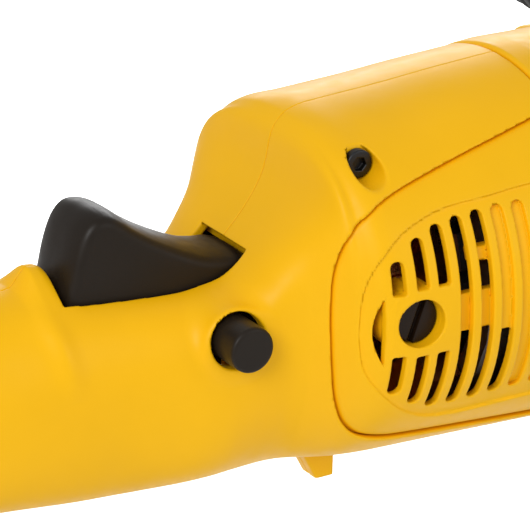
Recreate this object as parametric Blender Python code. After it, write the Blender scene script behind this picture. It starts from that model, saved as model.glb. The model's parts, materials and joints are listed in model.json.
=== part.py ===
"""Electric power screed: a right-angle power head on a column over a vibrating aluminium blade.

Lengths in this script are millimetres; make() turns them into metres.
Row frame: origin on the sole of the blade under the drive shaft, +Z up, +Y along the blade,
-X towards the operator. The power head has a frame of its own, the head frame: its origin is
where the motor axis meets the axis of the carbon brushes, with the same directions.
"""

import math

import bpy
from mathutils import Matrix, Vector

MM = 0.001
GAP = 0.3  # clearance between pieces that touch

# ---- driving dimensions ------------------------------------------------------------------
AXIS_Z = 860.0  # motor axis above the sole
BRUSH_X = -165.0  # brush axis from the drive shaft
WALL = 3.2  # moulded wall
SEAM_X = 52.8  # front edge of the handle shells, head frame
HOUSING_FRONT_X = 103.0  # joint between motor housing and gear case, head frame
HANDLE_END_X = -216.0  # rear end of the handle, head frame
HANDLE_END_ROUND = 12.0
GLAND_HOLE_R = 8.6
SLOT_HALF_W = 11.3  # half width of the trigger opening
TRIGGER_HALF_W = 10.5
TRIGGER_PIVOT = (-31.0, 2.0)  # head frame X, Z
TRIGGER_PIN_R = 2.0
TRIGGER_SPRING_X = -43.5
BUTTON_X, BUTTON_Z = -43.2, -2.4  # lock button axis, head frame
BUTTON_R = 6.2
BUTTON_HOLE_R = 7.5
BUTTON_FACE_Y = -35.6
BUTTON_FLANGE_Y = -18.8
BRUSH_HOLE_R = 6.6
BRUSH_CAP_Y = 44.6
RING_Z = -0.8  # centre of the housing ring, head frame
SCREW_HOLE_R = 4.3
SHELL_SCREWS = ((-6.4, 38.2), (-118.0, -16.0), (-196.0, -16.0))  # head frame X, Z
VENT_PITCH = 6.3
VENT_WIDTH = 3.8
VENT_FIRST_X = -5.9  # centre of the first straight vent, head frame

BLADE_LENGTH = 1200.0
BLADE_REAR_X, BLADE_FRONT_X = -66.0, 62.0
SOLE_T = 4.0
RIB_HALF_W, RIB_TOP_Z, RIB_WALL = 34.0, 32.0, 3.0
BLADE_BOLTS = ((-22.0, -68.0), (-22.0, 68.0), (22.0, -68.0), (22.0, 68.0))

EXCITER_R, EXCITER_H = 46.0, 52.0
FLANGE_X, FLANGE_Y, FLANGE_T = 50.0, 80.0, 8.0
ISOLATOR_R, ISOLATOR_H, ISOLATOR_AT = 11.0, 26.0, 42.0
PLATE_HALF, PLATE_T = 55.0, 6.0
BEARING_R, BEARING_W = 16.0, 10.0
SHAFT_R = 8.0
COLUMN_R, COLUMN_WALL = 25.0, 2.5
SOCKET_R = 31.0
CASE_BOLT_R = 44.0

EXCITER_Z = RIB_TOP_Z + GAP
COVER_Z = EXCITER_Z + EXCITER_H + GAP
ISOLATOR_Z = COVER_Z + PLATE_T + GAP
FOOT_Z = ISOLATOR_Z + ISOLATOR_H + GAP
COUPLING_Z = COVER_Z + PLATE_T + 2.6
COLUMN_Z = FOOT_Z + PLATE_T + 14.0
BOX_Z = AXIS_Z - 60.0
BOX_T = 8.0
CASE_Z = BOX_Z + BOX_T + GAP
SIDE_GRIP_X, SIDE_GRIP_Z = 4.0, AXIS_Z + 21.0

STAND_PIVOT = (-66.0, FOOT_Z + 10.0)  # row frame X, Z
STAND_FOOT_X = -330.0
STAND_R = 4.0

GEAR_TEETH, PINION_TEETH = 29, 9
GEAR_MODULE = 2.1
PINION_BORE_R = 3.5
CONE_INNER, CONE_OUTER = 21.0, 31.8  # cone distances of the bevel teeth

# ---- form of the handle shells, head frame -----------------------------------------------
# Each list is (x, value): the height of the crest, of the keel and of the widest point,
# the half width there, and the exponents of the upper and lower superellipse.
CREST = (
    (-216, 10.5), (-204, 11.0), (-185, 8.5), (-150, 10.0), (-120, 11.5), (-100, 12.4), (-84, 11.6),
    (-64, 9.2), (-53, 8.0), (-45, 7.4), (-41.7, 8.0), (-37.7, 9.6), (-34, 12.0), (-30.5, 15.6),
    (-26.6, 19.6), (-23.4, 23.6), (-21.1, 27.0), (-19.0, 31.3), (-17.9, 35.3), (-17.1, 39.8),
    (-15.5, 42.9), (-12.3, 45.7), (-7.1, 47.0), (0, 47.4), (17, 48.3), (33, 49.5), (60, 51.0),
)
KEEL = (
    (-216, -43), (-204, -43.5), (-185, -40.5), (-150, -42.0), (-120, -43.6), (-100, -45.6),
    (-76, -47.8), (-48, -48.6), (-27, -48.6), (-8, -49.4), (11, -50.2), (60, -52.6),
)
MIDDLE = (
    (-216, -17), (-55, -17.5), (-45, -16), (-40, -13.5), (-36, -11), (-32, -8.5), (-28, -6),
    (-24, -4.5), (-18, -3), (-10, -1.8), (0, -1.2), (60, -1.0),
)
HALF_WIDTH = (
    (-216, 22.5), (-204, 23.0), (-185, 20.5), (-150, 21.5), (-120, 21.2), (-100, 22.0), (-90, 22.4),
    (-81, 22.9), (-75, 23.3), (-60, 25.4), (-50, 27.4), (-45, 28.2), (-36, 29.0), (-30, 30.0),
    (-25, 32.0), (-20, 36.6), (-15, 43.0), (-10, 47.4), (-5, 49.3), (0, 50.2), (30, 51.2), (60, 52.0),
)
UPPER_POWER = (
    (-216, 2.3), (-100, 2.3), (-84, 2.6), (-55, 2.8), (-45, 3.2), (-34, 4.0), (-25, 5.6), (-21, 6.2),
    (-19, 5.6), (-17, 3.7), (-14, 2.6), (0, 2.15), (60, 2.05),
)
LOWER_POWER = ((-216, 2.3), (-60, 2.4), (-34, 2.3), (-10, 2.1), (60, 2.05))
HUMP = ((-100, 0), (-94, 1.0), (-91, 4.4), (-89, 6.2), (-87, 6.2), (-84.5, 5.0), (-78, 0))
HUMP_REACH = 8.5  # how far the hump spreads to each side
CORNERS = ((1, 1), (1, -1), (-1, 1), (-1, -1))
# outline of the side tongues of the motor housing, upper and lower edge, head frame
TONGUE_TOP = (
    (-19.6, -3.0), (-19.5, 5.0), (-19.3, 12.6), (-18.4, 19.5), (-16.3, 24.6), (-11.5, 29.0),
    (-2.8, 32.1), (22.0, 36.4), (60.0, 42.2),
)
TONGUE_BOTTOM = (
    (-19.6, -3.0), (-19.0, -12.0), (-17.7, -21.6), (-15.3, -28.2), (-12.3, -31.8), (-6.6, -34.6),
    (9.2, -37.2), (60.0, -43.0),
)
TONGUE_STATIONS = (-19.5, -18.4, -16.3, -12, -5, 8, 30, 57)
TONGUE_RECESS = 1.1  # the tongue lies this much under the shells' surface


# ---- small tools -------------------------------------------------------------------------
def head(x, y, z):
    """A point of the head frame, in the row frame."""
    return (x + BRUSH_X, y, z + AXIS_Z)


def spline(knots, x):
    """Smooth curve through (x, value) knots that never overshoots them."""
    if x <= knots[0][0]:
        return knots[0][1]
    if x >= knots[-1][0]:
        return knots[-1][1]
    i = max(k for k in range(len(knots) - 1) if knots[k][0] <= x)

    def chord(k):
        return (knots[k + 1][1] - knots[k][1]) / (knots[k + 1][0] - knots[k][0])

    def slope(k):
        if k == 0 or k == len(knots) - 1:
            return chord(min(k, len(knots) - 2))
        a, b = chord(k - 1), chord(k)
        return 0.0 if a * b <= 0 else 2 * a * b / (a + b)

    span = knots[i + 1][0] - knots[i][0]
    t = (x - knots[i][0]) / span
    return (
        (2 * t**3 - 3 * t**2 + 1) * knots[i][1]
        + (t**3 - 2 * t**2 + t) * span * slope(i)
        + (3 * t**2 - 2 * t**3) * knots[i + 1][1]
        + (t**3 - t**2) * span * slope(i + 1)
    )


def section_point(x, turn, inset=0.0):
    """(y, z) on the shells' section at x. turn runs from -1 (keel) over 0 (right side) to 1 (crest)."""
    mid = spline(MIDDLE, x)
    half_w = spline(HALF_WIDTH, x) - inset
    angle = turn * math.pi / 2
    if turn >= 0:
        height, power = spline(CREST, x) - mid - inset, spline(UPPER_POWER, x)
    else:
        height, power = mid - spline(KEEL, x) - inset, spline(LOWER_POWER, x)
    y = half_w * abs(math.cos(angle)) ** (2 / power)
    z = mid + math.copysign(height * abs(math.sin(angle)) ** (2 / power), turn)
    if turn > 0:
        z += spline(HUMP, x) * math.exp(-((y / HUMP_REACH) ** 2)) if x < -78 else 0.0
    return y, z


def side_y(x, z, inset=0.0):
    """Half width of the shells' section at x and height z."""
    mid = spline(MIDDLE, x)
    half_w = spline(HALF_WIDTH, x) - inset
    if z >= mid:
        height, power = spline(CREST, x) - mid - inset, spline(UPPER_POWER, x)
    else:
        height, power = mid - spline(KEEL, x) - inset, spline(LOWER_POWER, x)
    share = min(1.0, abs(z - mid) / height)
    return half_w * (1 - share**power) ** (1 / power)


materials = {}


def material(name, colour, roughness, metallic=0.0):
    made = bpy.data.materials.new(name)
    made.use_nodes = True
    shader = made.node_tree.nodes["Principled BSDF"]
    shader.inputs["Base Color"].default_value = (*colour, 1)
    shader.inputs["Roughness"].default_value = roughness
    shader.inputs["Metallic"].default_value = metallic
    made.diffuse_color = (*colour, 1)
    materials[name] = made


def make(name, points, faces, finish=None, origin=(0, 0, 0), parent=None, smooth=30.0):
    """A named object from points in the row frame, with its own origin."""
    mesh = bpy.data.meshes.new(name)
    mesh.from_pydata([[(c - o) * MM for c, o in zip(p, origin)] for p in points], [], faces)
    mesh.update()
    thing = bpy.data.objects.new(name, mesh)
    bpy.context.scene.collection.objects.link(thing)
    thing.location = [c * MM for c in origin]
    if finish:
        mesh.materials.append(materials[finish])
    hang(thing, parent)
    mesh.shade_smooth()
    mesh.set_sharp_from_angle(angle=math.radians(smooth))
    return thing


def hang(thing, parent):
    if parent:
        bpy.context.view_layer.update()
        thing.parent = parent
        thing.matrix_parent_inverse = parent.matrix_world.inverted()


def pivot(name, place):
    """An empty on a joint's axis, which the moving pieces hang from."""
    empty = bpy.data.objects.new(name, None)
    bpy.context.scene.collection.objects.link(empty)
    empty.location = [c * MM for c in place]
    return empty


def hidden(thing):
    thing.hide_render = True
    thing.display_type = "WIRE"
    return thing


def boolean(thing, other, operation, solver):
    mod = thing.modifiers.new(operation.lower(), "BOOLEAN")
    mod.object = hidden(other)
    mod.operation = operation
    mod.solver = solver


def cut(thing, *others, solver="EXACT"):
    for other in others:
        boolean(thing, other, "DIFFERENCE", solver)


def fuse(thing, *others, solver="EXACT"):
    for other in others:
        boolean(thing, other, "UNION", solver)


def round_edges(thing, width, segments=1, angle=40.0):
    mod = thing.modifiers.new("round", "BEVEL")
    mod.width = width * MM
    mod.segments = segments
    mod.limit_method = "ANGLE"
    mod.angle_limit = math.radians(angle)


def rings_mesh(rings, closed_rings=True, closed_loop=False, caps=True):
    """Points and faces of rings that are joined one to the next."""
    n = len(rings[0])
    points = [p for ring in rings for p in ring]
    faces = []
    last = len(rings) if closed_loop else len(rings) - 1
    for i in range(last):
        a, b = i * n, (i + 1) % len(rings) * n
        for j in range(n if closed_rings else n - 1):
            k = (j + 1) % n
            faces.append((a + j, a + k, b + k, b + j))
    if caps and not closed_loop:
        faces.append(tuple(range(n))[::-1])
        faces.append(tuple(range((len(rings) - 1) * n, len(rings) * n)))
    return points, faces


def outward(points, faces):
    """The same faces, turned so that the solid's volume is positive."""
    volume = 0.0
    for face in faces:
        a = Vector(points[face[0]])
        for i in range(1, len(face) - 1):
            volume += a.dot(Vector(points[face[i]]).cross(Vector(points[face[i + 1]])))
    return faces if volume > 0 else [f[::-1] for f in faces]


def solid(name, points, faces, finish=None, **keys):
    return make(name, points, outward(points, faces), finish, **keys)


def joined(*meshes):
    """Several (points, faces) as one mesh of separate bodies."""
    points, faces = [], []
    for p, f in meshes:
        f = outward(p, f)
        faces += [tuple(i + len(points) for i in face) for face in f]
        points += list(p)
    return points, faces


def box(x0, x1, y0, y1, z0, z1):
    low = [(x0, y0, z0), (x1, y0, z0), (x1, y1, z0), (x0, y1, z0)]
    high = [(x, y, z1) for x, y, _ in low]
    return rings_mesh([low, high])


def basis(axis):
    """Two directions across an axis."""
    n = Vector(axis).normalized()
    u = Vector((0, 0, 1)).cross(n) if abs(n.z) < 0.9 else Vector((1, 0, 0))
    u = (u - n * u.dot(n)).normalized()
    return n, u, n.cross(u)


def lathe(base, axis, profile, sides):
    """Turns a profile of (radius, distance along axis) about the axis. A ring profile is closed;
    one whose first and last radius are both 0 or more is capped flat."""
    n, u, v = basis(axis)
    rings = []
    for radius, along in profile:
        ring = []
        for i in range(sides):
            a = 2 * math.pi * i / sides
            ring.append(tuple(Vector(base) + n * along + (u * math.cos(a) + v * math.sin(a)) * radius))
        rings.append(ring)
    return rings


def turned(base, axis, profile, sides=16):
    return rings_mesh(lathe(base, axis, profile, sides))


def turned_ring(base, axis, profile, sides=16):
    return rings_mesh(lathe(base, axis, profile, sides), closed_loop=True)


def rod(start, end, radius, sides=12):
    axis = Vector(end) - Vector(start)
    return turned(start, axis, [(radius, 0), (radius, axis.length)], sides)


def tube(start, end, inner, outer, sides=16):
    axis = Vector(end) - Vector(start)
    size = axis.length
    return turned_ring(start, axis, [(inner, 0), (outer, 0), (outer, size), (inner, size)], sides)


def prism(outline, y0, y1, place=head):
    """An outline in X and Z, drawn out along Y."""
    return rings_mesh([[place(x, y, z) for x, z in outline] for y in (y0, y1)])


def arc(cx, cz, radius, start, end, steps):
    """Points on an arc, angles in degrees."""
    out = []
    for i in range(steps + 1):
        a = math.radians(start + (end - start) * i / steps)
        out.append((cx + radius * math.cos(a), cz + radius * math.sin(a)))
    return out


def cap_screw(base, axis, head_r, head_h, shank_r, length, recess_r=1.8, sides=10):
    """A screw whose head's underside is at base; axis points to its head. The drive is a blind socket."""
    profile = [(shank_r, -length), (shank_r, 0), (head_r, 0), (head_r, head_h), (recess_r, head_h),
               (recess_r, head_h * 0.4)]
    return turned(base, axis, profile, sides)


def coil(base, axis, radius, wire, pitch, turns, steps=9, sides=5):
    """A helical spring."""
    n, u, v = basis(axis)
    rings = []
    count = int(turns * steps)
    rise = pitch / (2 * math.pi * radius)
    for i in range(count + 1):
        a = 2 * math.pi * i / steps
        out = u * math.cos(a) + v * math.sin(a)
        along = (v * math.cos(a) - u * math.sin(a) + n * rise).normalized()
        centre = Vector(base) + out * radius + n * (pitch * i / steps)
        side = along.cross(out)
        ring = []
        for k in range(sides):
            b = 2 * math.pi * k / sides
            ring.append(tuple(centre + (out * math.cos(b) + side * math.sin(b)) * wire))
        rings.append(ring)
    return rings_mesh(rings)


def wire_curve(name, routes, radius, finish, origin=(0, 0, 0), parent=None):
    """Round wires: each route is a smooth tube through its points."""
    data = bpy.data.curves.new(name, "CURVE")
    data.dimensions = "3D"
    data.bevel_depth = radius * MM
    data.bevel_resolution = 1
    data.use_fill_caps = True
    for route in routes:
        path = smooth_path(route, 2)
        line = data.splines.new("POLY")
        line.points.add(len(path) - 1)
        for point, place in zip(line.points, path):
            point.co = (*[(c - o) * MM for c, o in zip(place, origin)], 1)
    thing = bpy.data.objects.new(name, data)
    bpy.context.scene.collection.objects.link(thing)
    thing.location = [c * MM for c in origin]
    data.materials.append(materials[finish])
    hang(thing, parent)
    return thing


def smooth_path(points, steps):
    """Catmull-Rom curve through the points."""
    p = [Vector(q) for q in points]
    p = [p[0] * 2 - p[1]] + p + [p[-1] * 2 - p[-2]]
    out = []
    for i in range(1, len(p) - 2):
        for k in range(steps):
            t = k / steps
            a, b, c, d = p[i - 1], p[i], p[i + 1], p[i + 2]
            out.append(0.5 * (2 * b + (c - a) * t + (2 * a - 5 * b + 4 * c - d) * t**2
                              + (3 * b - a - 3 * c + d) * t**3))
    return out + [p[-2]]


# ---- rear handle -------------------------------------------------------------------------
SHELL_STATIONS = (
    52.8, 22, -1, -9.5, -14, -17, -19.2, -23.5, -28, -32, -38, -46, -58, -72, -84.5, -89, -93, -99, -130,
    -170, -204,
)
SHELL_TURNS = 8


def half_ring(x, inset, side):
    ring = []
    for j in range(SHELL_TURNS + 1):
        turn = -1 + 2 * j / SHELL_TURNS
        y, z = section_point(x, turn, inset)
        ring.append(head(x, side * max(y, GAP / 2), z))
    return ring


def gland_ring(x, side):
    ring = []
    mid = spline(MIDDLE, x)
    for j in range(SHELL_TURNS + 1):
        a = (-1 + 2 * j / SHELL_TURNS) * math.pi / 2
        y = max(GLAND_HOLE_R * math.cos(a), GAP / 2)
        ring.append(head(x, side * y, mid + GLAND_HOLE_R * math.sin(a)))
    return ring


def shell_mesh(side):
    """One half of the hollow handle, split at the middle plane."""
    outer = [half_ring(x, 0, side) for x in SHELL_STATIONS]
    inner = [half_ring(x, WALL, side) for x in SHELL_STATIONS[:-1]]
    inner.append(half_ring(SHELL_STATIONS[-1] - 1.0, WALL + 0.6, side))
    end = SHELL_STATIONS[-1]
    for step in (1, 2):
        a = math.radians(45 * step)
        inset = HANDLE_END_ROUND * (1 - math.cos(a)) * 0.8
        outer.append(half_ring(end - HANDLE_END_ROUND * math.sin(a), inset, side))
        depth = HANDLE_END_ROUND * math.sin(a) - WALL * math.sin(a)
        inner.append(half_ring(end - depth, inset + WALL, side))
    outer.append(gland_ring(HANDLE_END_X, side))
    inner.append(gland_ring(HANDLE_END_X + WALL, side))
    n = SHELL_TURNS + 1
    rows = len(outer)
    points = [p for ring in outer + inner for p in ring]
    faces = []
    for i in range(rows - 1):
        for j in range(n - 1):
            a, b = i * n + j, (i + 1) * n + j
            faces.append((a, b, b + 1, a + 1))
            a, b = a + rows * n, b + rows * n
            faces.append((a, a + 1, b + 1, b))
        for j in (0, n - 1):
            a, b = i * n + j, (i + 1) * n + j
            strip = (a, a + rows * n, b + rows * n, b)
            faces.append(strip if j == 0 else strip[::-1])
    for i in (0, rows - 1):
        for j in range(n - 1):
            a = i * n + j
            strip = (a, a + 1, a + 1 + rows * n, a + rows * n)
            faces.append(strip if i == 0 else strip[::-1])
    return points, faces


def tongue_outline(grow):
    """Side view of the cut-out for a tongue, larger than the tongue by a clearance."""
    xs = TONGUE_STATIONS[:-1] + (64.0,)
    edge = [(x, spline(TONGUE_TOP, x)) for x in xs[::-1]] + [(x, spline(TONGUE_BOTTOM, x)) for x in xs]
    out = []
    for x, z in edge:
        away = Vector((min(x, 10.0) - 10.0, z - 1.0)).normalized() * grow
        out.append((x + away.x, z + away.y))
    return out


def trigger_opening():
    """Side view of the opening that the trigger stands in."""
    return [
        (-84.3, 40), (-84.3, -12.5), (-24, -12.5), (-24, 12.4), (-29.0, 14.0), (-34.5, 14.8), (-36, 40),
    ]


def shell(name, side):
    thing = solid(name, *shell_mesh(side), "yellow_plastic", smooth=35)
    far = 70.0 * side
    bosses = []
    for x, z in SHELL_SCREWS:
        outer = side * (side_y(x, z) - 1.6)
        bosses.append(rod(head(x, side * GAP / 2, z), head(x, outer, z), 6.2, 10))
    x, z = TRIGGER_PIVOT
    pivot_boss = (head(x, side * (SLOT_HALF_W - 0.5), z), head(x, side * (side_y(x, z) - 1.6), z))
    bosses.append(rod(*pivot_boss, 4.6, 10))
    lug = prism([(-12.0, -46.5), (-4.6, -60.4), (0.8, -60.4), (1.4, -46.5)], side * GAP / 2, side * 4.2)
    if side < 0:
        inner, outer = head(BUTTON_X, -23.0, BUTTON_Z), head(BUTTON_X, -26.6, BUTTON_Z)
        bosses.append(rod(inner, outer, 8.6, 16))
    fuse(thing, solid(name + "_bosses", *joined(*bosses, lug)))
    tools = [prism(trigger_opening(), -side, side * SLOT_HALF_W)]
    cut(thing, solid(name + "_opening", *joined(*tools)))
    tools = [prism(tongue_outline(0.45), side * 24.5, far)]
    cut(thing, solid(name + "_tongue_cut", *joined(*tools)))
    tools = []
    for x, z in SHELL_SCREWS:
        surface = side_y(x, z)
        if side < 0:
            seat = surface - 7.4
            profile = [(2.2, -1), (2.2, seat), (SCREW_HOLE_R, seat), (SCREW_HOLE_R, -far)]
            tools.append(turned(head(x, 0, z), (0, -1, 0), profile, 16))
        else:
            tools.append(rod(head(x, -1, z), head(x, 11.0, z), 1.9, 8))
    x, z = TRIGGER_PIVOT
    inner, outer = head(x, side * (SLOT_HALF_W - 2), z), head(x, side * 18.5, z)
    tools.append(rod(inner, outer, TRIGGER_PIN_R + GAP, 12))
    if side < 0:
        hole = rod(head(BUTTON_X, side * 10.5, BUTTON_Z), head(BUTTON_X, far, BUTTON_Z), BUTTON_HOLE_R, 16)
        tools.append(hole)
    cut(thing, solid(name + "_holes", *joined(*tools)))
    return thing


def shell_screws():
    for label, (x, z) in zip(("front", "middle", "rear"), SHELL_SCREWS):
        seat = side_y(x, z) - 7.4
        screw = cap_screw(head(x, -seat - GAP, z), (0, -1, 0), 3.8, 2.6, 1.6, seat + 8.0, 1.6)
        solid("handle_screw_" + label, *screw, "dark_steel")


def trigger_outline():
    """Side view of the trigger, head frame."""
    return [
        (-83.0, 9.0), (-81.9, 15.2), (-80.2, 21.6), (-78.0, 26.6), (-75.6, 29.8), (-72.6, 31.2),
        (-68.8, 30.8), (-65.2, 28.6), (-61.4, 25.6), (-55.3, 21.6), (-47.5, 17.4), (-38.6, 13.6),
        (-31.5, 12.6), (-28.0, 10.2), (-26.8, 5.0), (-27.6, -2.4), (-31.0, -4.2), (-52.0, -4.0),
        (-52.4, -6.2), (-59.6, -6.2), (-60.0, -4.0), (-80.0, -3.4), (-82.6, -1.0),
    ]


def trigger_parts():
    x, z = TRIGGER_PIVOT
    place = head(x, 0, z)
    arm = pivot("trigger_pivot", place)
    lever = solid("trigger", *prism(trigger_outline(), -TRIGGER_HALF_W, TRIGGER_HALF_W), "black_plastic",
                  origin=place, parent=arm)
    round_edges(lever, 1.6, 1, 50)
    recess = rod(head(TRIGGER_SPRING_X, 0, -8), head(TRIGGER_SPRING_X, 0, 1.5), 5.0, 12)
    cut(lever, solid("spring_recess", *recess))
    fuse(lever, solid("trigger_trunnion", *rod(head(x, -17.5, z), head(x, 17.5, z), TRIGGER_PIN_R, 12)))
    spring = coil(head(TRIGGER_SPRING_X, 0, -13.0), (0, 0, 1), 3.2, 0.45, 2.5, 5.5, 8, 4)
    solid("trigger_spring", *spring, "steel")


def lock_button():
    place = head(BUTTON_X, BUTTON_FACE_Y, BUTTON_Z)
    slide = pivot("lock_button_slide", place)
    reach = BUTTON_FLANGE_Y - BUTTON_FACE_Y
    profile = [(BUTTON_R, reach + 2.2), (BUTTON_R, 1.0), (BUTTON_R - 1.0, 0.0)]
    button = solid("lock_button", *turned(place, (0, 1, 0), profile, 20), "black_plastic", origin=place,
                   parent=slide)
    x, y, z = head(BUTTON_X, BUTTON_FLANGE_Y, BUTTON_Z)
    fuse(button, solid("button_tab", *box(x - 4, x + 4, y, y + 2.2, z - 8.8, z - 4)))
    bore = rod((x, BUTTON_FACE_Y + 4, z), (x, y + 4, z), 4.9, 14)
    cut(button, solid("button_bore", *bore))
    spring = coil(head(BUTTON_X, BUTTON_FLANGE_Y - 4.0, BUTTON_Z), (0, 1, 0), 3.9, 0.4, 2.4, 4, 8, 4)
    solid("lock_spring", *spring, "steel")


SWITCH_TOP = -14.0
PLUNGER_X = -56.0


def switch_parts():
    block = box(-84.0 + BRUSH_X, -37.0 + BRUSH_X, -8.5, 8.5, -37 + AXIS_Z, SWITCH_TOP + AXIS_Z)
    body = solid("switch_body", *block, "black_plastic")
    hole = rod(head(PLUNGER_X, 0, SWITCH_TOP - 9), head(PLUNGER_X, 0, SWITCH_TOP + 2), 3.0 + GAP, 12)
    cut(body, solid("switch_hole", *hole))
    top = -6.2 - 0.5
    place = head(PLUNGER_X, 0, top)
    slide = pivot("plunger_slide", place)
    plunger = turned(head(PLUNGER_X, 0, SWITCH_TOP - 2.6), (0, 0, 1),
                     [(3.0, 0), (3.0, top - SWITCH_TOP + 1.8), (2.2, top - SWITCH_TOP + 2.6)], 12)
    solid("switch_plunger", *plunger, "red_plastic", origin=place, parent=slide)


def cord_inlet():
    """Flanged rubber bush in the hole at the rear end of the handle."""
    base = head(HANDLE_END_X - 12, 0, spline(MIDDLE, HANDLE_END_X))
    neck = GLAND_HOLE_R - GAP
    profile = [(4.6, 0), (7.2, 0), (7.9, 1.2), (10.4, 11.6), (neck, 11.6), (neck, 15.6), (10.4, 15.6),
               (10.4, 19), (4.6, 19)]
    solid("cord_gland", *turned_ring(base, (1, 0, 0), profile, 16), "black_rubber")


# ---- motor housing -----------------------------------------------------------------------
def tongue_mesh(side):
    """A curved plate that fills the cut-out in the handle shell, with the same form, set in a little."""
    xs = TONGUE_STATIONS
    steps = 6
    rows = []
    for depth in (0, WALL):
        for x in xs:
            high, low = spline(TONGUE_TOP, x), spline(TONGUE_BOTTOM, x)
            row = []
            for k in range(steps + 1):
                z = low + (high - low) * k / steps
                row.append(head(x, side * (side_y(x, z, TONGUE_RECESS) - depth), z))
            rows.append(row)
    n, count = steps + 1, len(xs)
    points = [p for row in rows for p in row]
    faces = []
    for i in range(count - 1):
        for j in range(steps):
            a, b = i * n + j, (i + 1) * n + j
            faces.append((a, b, b + 1, a + 1))
            a, b = a + count * n, b + count * n
            faces.append((a, a + 1, b + 1, b))
        for j in (0, steps):
            a, b = i * n + j, (i + 1) * n + j
            strip = (a, a + count * n, b + count * n, b)
            faces.append(strip if j == 0 else strip[::-1])
    for i in (0, count - 1):
        for j in range(steps):
            a = i * n + j
            strip = (a, a + 1, a + 1 + count * n, a + count * n)
            faces.append(strip if i == 0 else strip[::-1])
    return points, faces


HOUSING_PROFILE = (
    (53.6, 51.4), (54.6, 52.3), (60, 52.6), (76, 52.2), (92, 51.4), (96, 52.6), (HOUSING_FRONT_X, 53.0),
)


def vent(x, low, high):
    """Outline of one upright vent slot."""
    r = VENT_WIDTH / 2
    return [(x - r, low), (x + r, low), (x + r, high), (x - r, high)]


def vents():
    """Outlines of the open vents on one side: they keep clear of the boss of the brush."""
    xs = [VENT_FIRST_X + VENT_PITCH * i for i in range(6)]
    out = [arc(6.0, -1.5, 18.1, 149.0, 211.0, 4)]
    for x, top in zip(xs, (17.6, 22.4, 24.4, 25.0)):
        near = 9.2 if x < 8 else 5.4
        out += [vent(x, near, top), vent(x, -top - 0.8, -near)]
    out += [vent(xs[4], 5.4, 25.3), vent(xs[4], -25.9, -5.4), vent(xs[5], -25.6, -7.0)]
    return out


def housing_screw_places():
    """Centres (y, z) of the screws between gear case and motor housing, head frame."""
    reach = 50.5 / math.sqrt(2)
    return [(sy * reach, sz * reach + RING_Z) for sy, sz in CORNERS]


def motor_housing():
    centre = head(0, 0, RING_Z)
    outer = lathe(centre, (1, 0, 0), [(r, x) for x, r in HOUSING_PROFILE], 28)
    inner = lathe(centre, (1, 0, 0), [(r - WALL, x) for x, r in HOUSING_PROFILE[::2]], 28)
    ring = rings_mesh(outer + inner[::-1], closed_loop=True)
    thing = solid("motor_housing", *ring, "yellow_plastic", smooth=35)
    bosses = []
    for y, z in housing_screw_places():
        bosses.append(rod(head(86, y, z), head(HOUSING_FRONT_X, y, z), 6.5, 8))
    for sy, sz in CORNERS:
        y, z = sy * 33.0, sz * 33.0
        bosses.append(rod(head(56, y, z), head(76, y, z), 3.0, 6))
    many = "MANIFOLD"
    fuse(thing, solid("housing_bosses", *joined(*bosses)), solver=many)
    for side, label in ((-1, "right"), (1, "left")):
        fuse(thing, solid("tongue_" + label, *tongue_mesh(side)), solver=many)
    for side, label in ((-1, "right"), (1, "left")):
        boss = rod(head(0, side * 36.0, 0), head(0, side * 46.3, 0), 9.6, 16)
        guide = brush_block(side, 21.0, 38.0, 6.4, 6.0)
        y0, y1 = sorted((side * 38, side * 45.9))
        bridge = box(6 + BRUSH_X, 23.4 + BRUSH_X, y0, y1, AXIS_Z - 5.2, AXIS_Z + 5.2)
        fuse(thing, solid("brush_boss_" + label, *boss), solid("brush_bridge_" + label, *bridge),
             solid("brush_guide_" + label, *guide), solver=many)
    for side, label in ((-1, "right"), (1, "left")):
        tools = [prism(outline, side * 30, side * 60) for outline in vents()]
        tools.append(rod(head(0, side * 37.4, 0), head(0, side * 60, 0), BRUSH_HOLE_R, 16))
        for z in (-7, 7):
            y0, y1 = sorted((side * 40, side * 60))
            tools.append(box(83 + BRUSH_X, 96 + BRUSH_X, y0, y1, AXIS_Z + z - 1.8, AXIS_Z + z + 1.8))
        cut(thing, solid("vents_" + label, *joined(*tools)),
            solid("brush_channel_" + label, *brush_block(side, 20.0, 38.0, 4.0, 3.6)), solver=many)
    return thing


# ---- motor -------------------------------------------------------------------------------
def segment(x0, x1, inner, outer, start, end, steps):
    """A block of a ring about the motor axis, angles in degrees from the left side."""
    outline = arc(0, 0, outer, start, end, steps) + arc(0, 0, inner, end, start, steps)
    return rings_mesh([[head(x, y, z) for y, z in outline] for x in (x0, x1)])


def stator():
    core = tube(head(24, 0, 0), head(76, 0, 0), 36.0, 43.5, 22)
    thing = solid("stator_core", *core, "laminations")
    poles = [segment(24, 76, 27.2, 38.5, a, a + 84, 4) for a in (48, 228)]
    fuse(thing, *[solid(f"pole_{i}", *p) for i, p in enumerate(poles)])
    for a, label in ((40, "upper"), (220, "lower")):
        coil_end = solid("field_coil_" + label, *segment(13.5, 23.7, 29.5, 40.0, a, a + 100, 8), "copper")
        others = [segment(76.3, 87, 29.5, 40.0, a, a + 100, 8)]
        others += [segment(20, 80, 29.8, 35.6, b, b + 6.2, 1) for b in (a + 1, a + 92.8)]
        fuse(coil_end, *[solid(f"coil_{label}_{i}", *part) for i, part in enumerate(others)])


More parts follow.
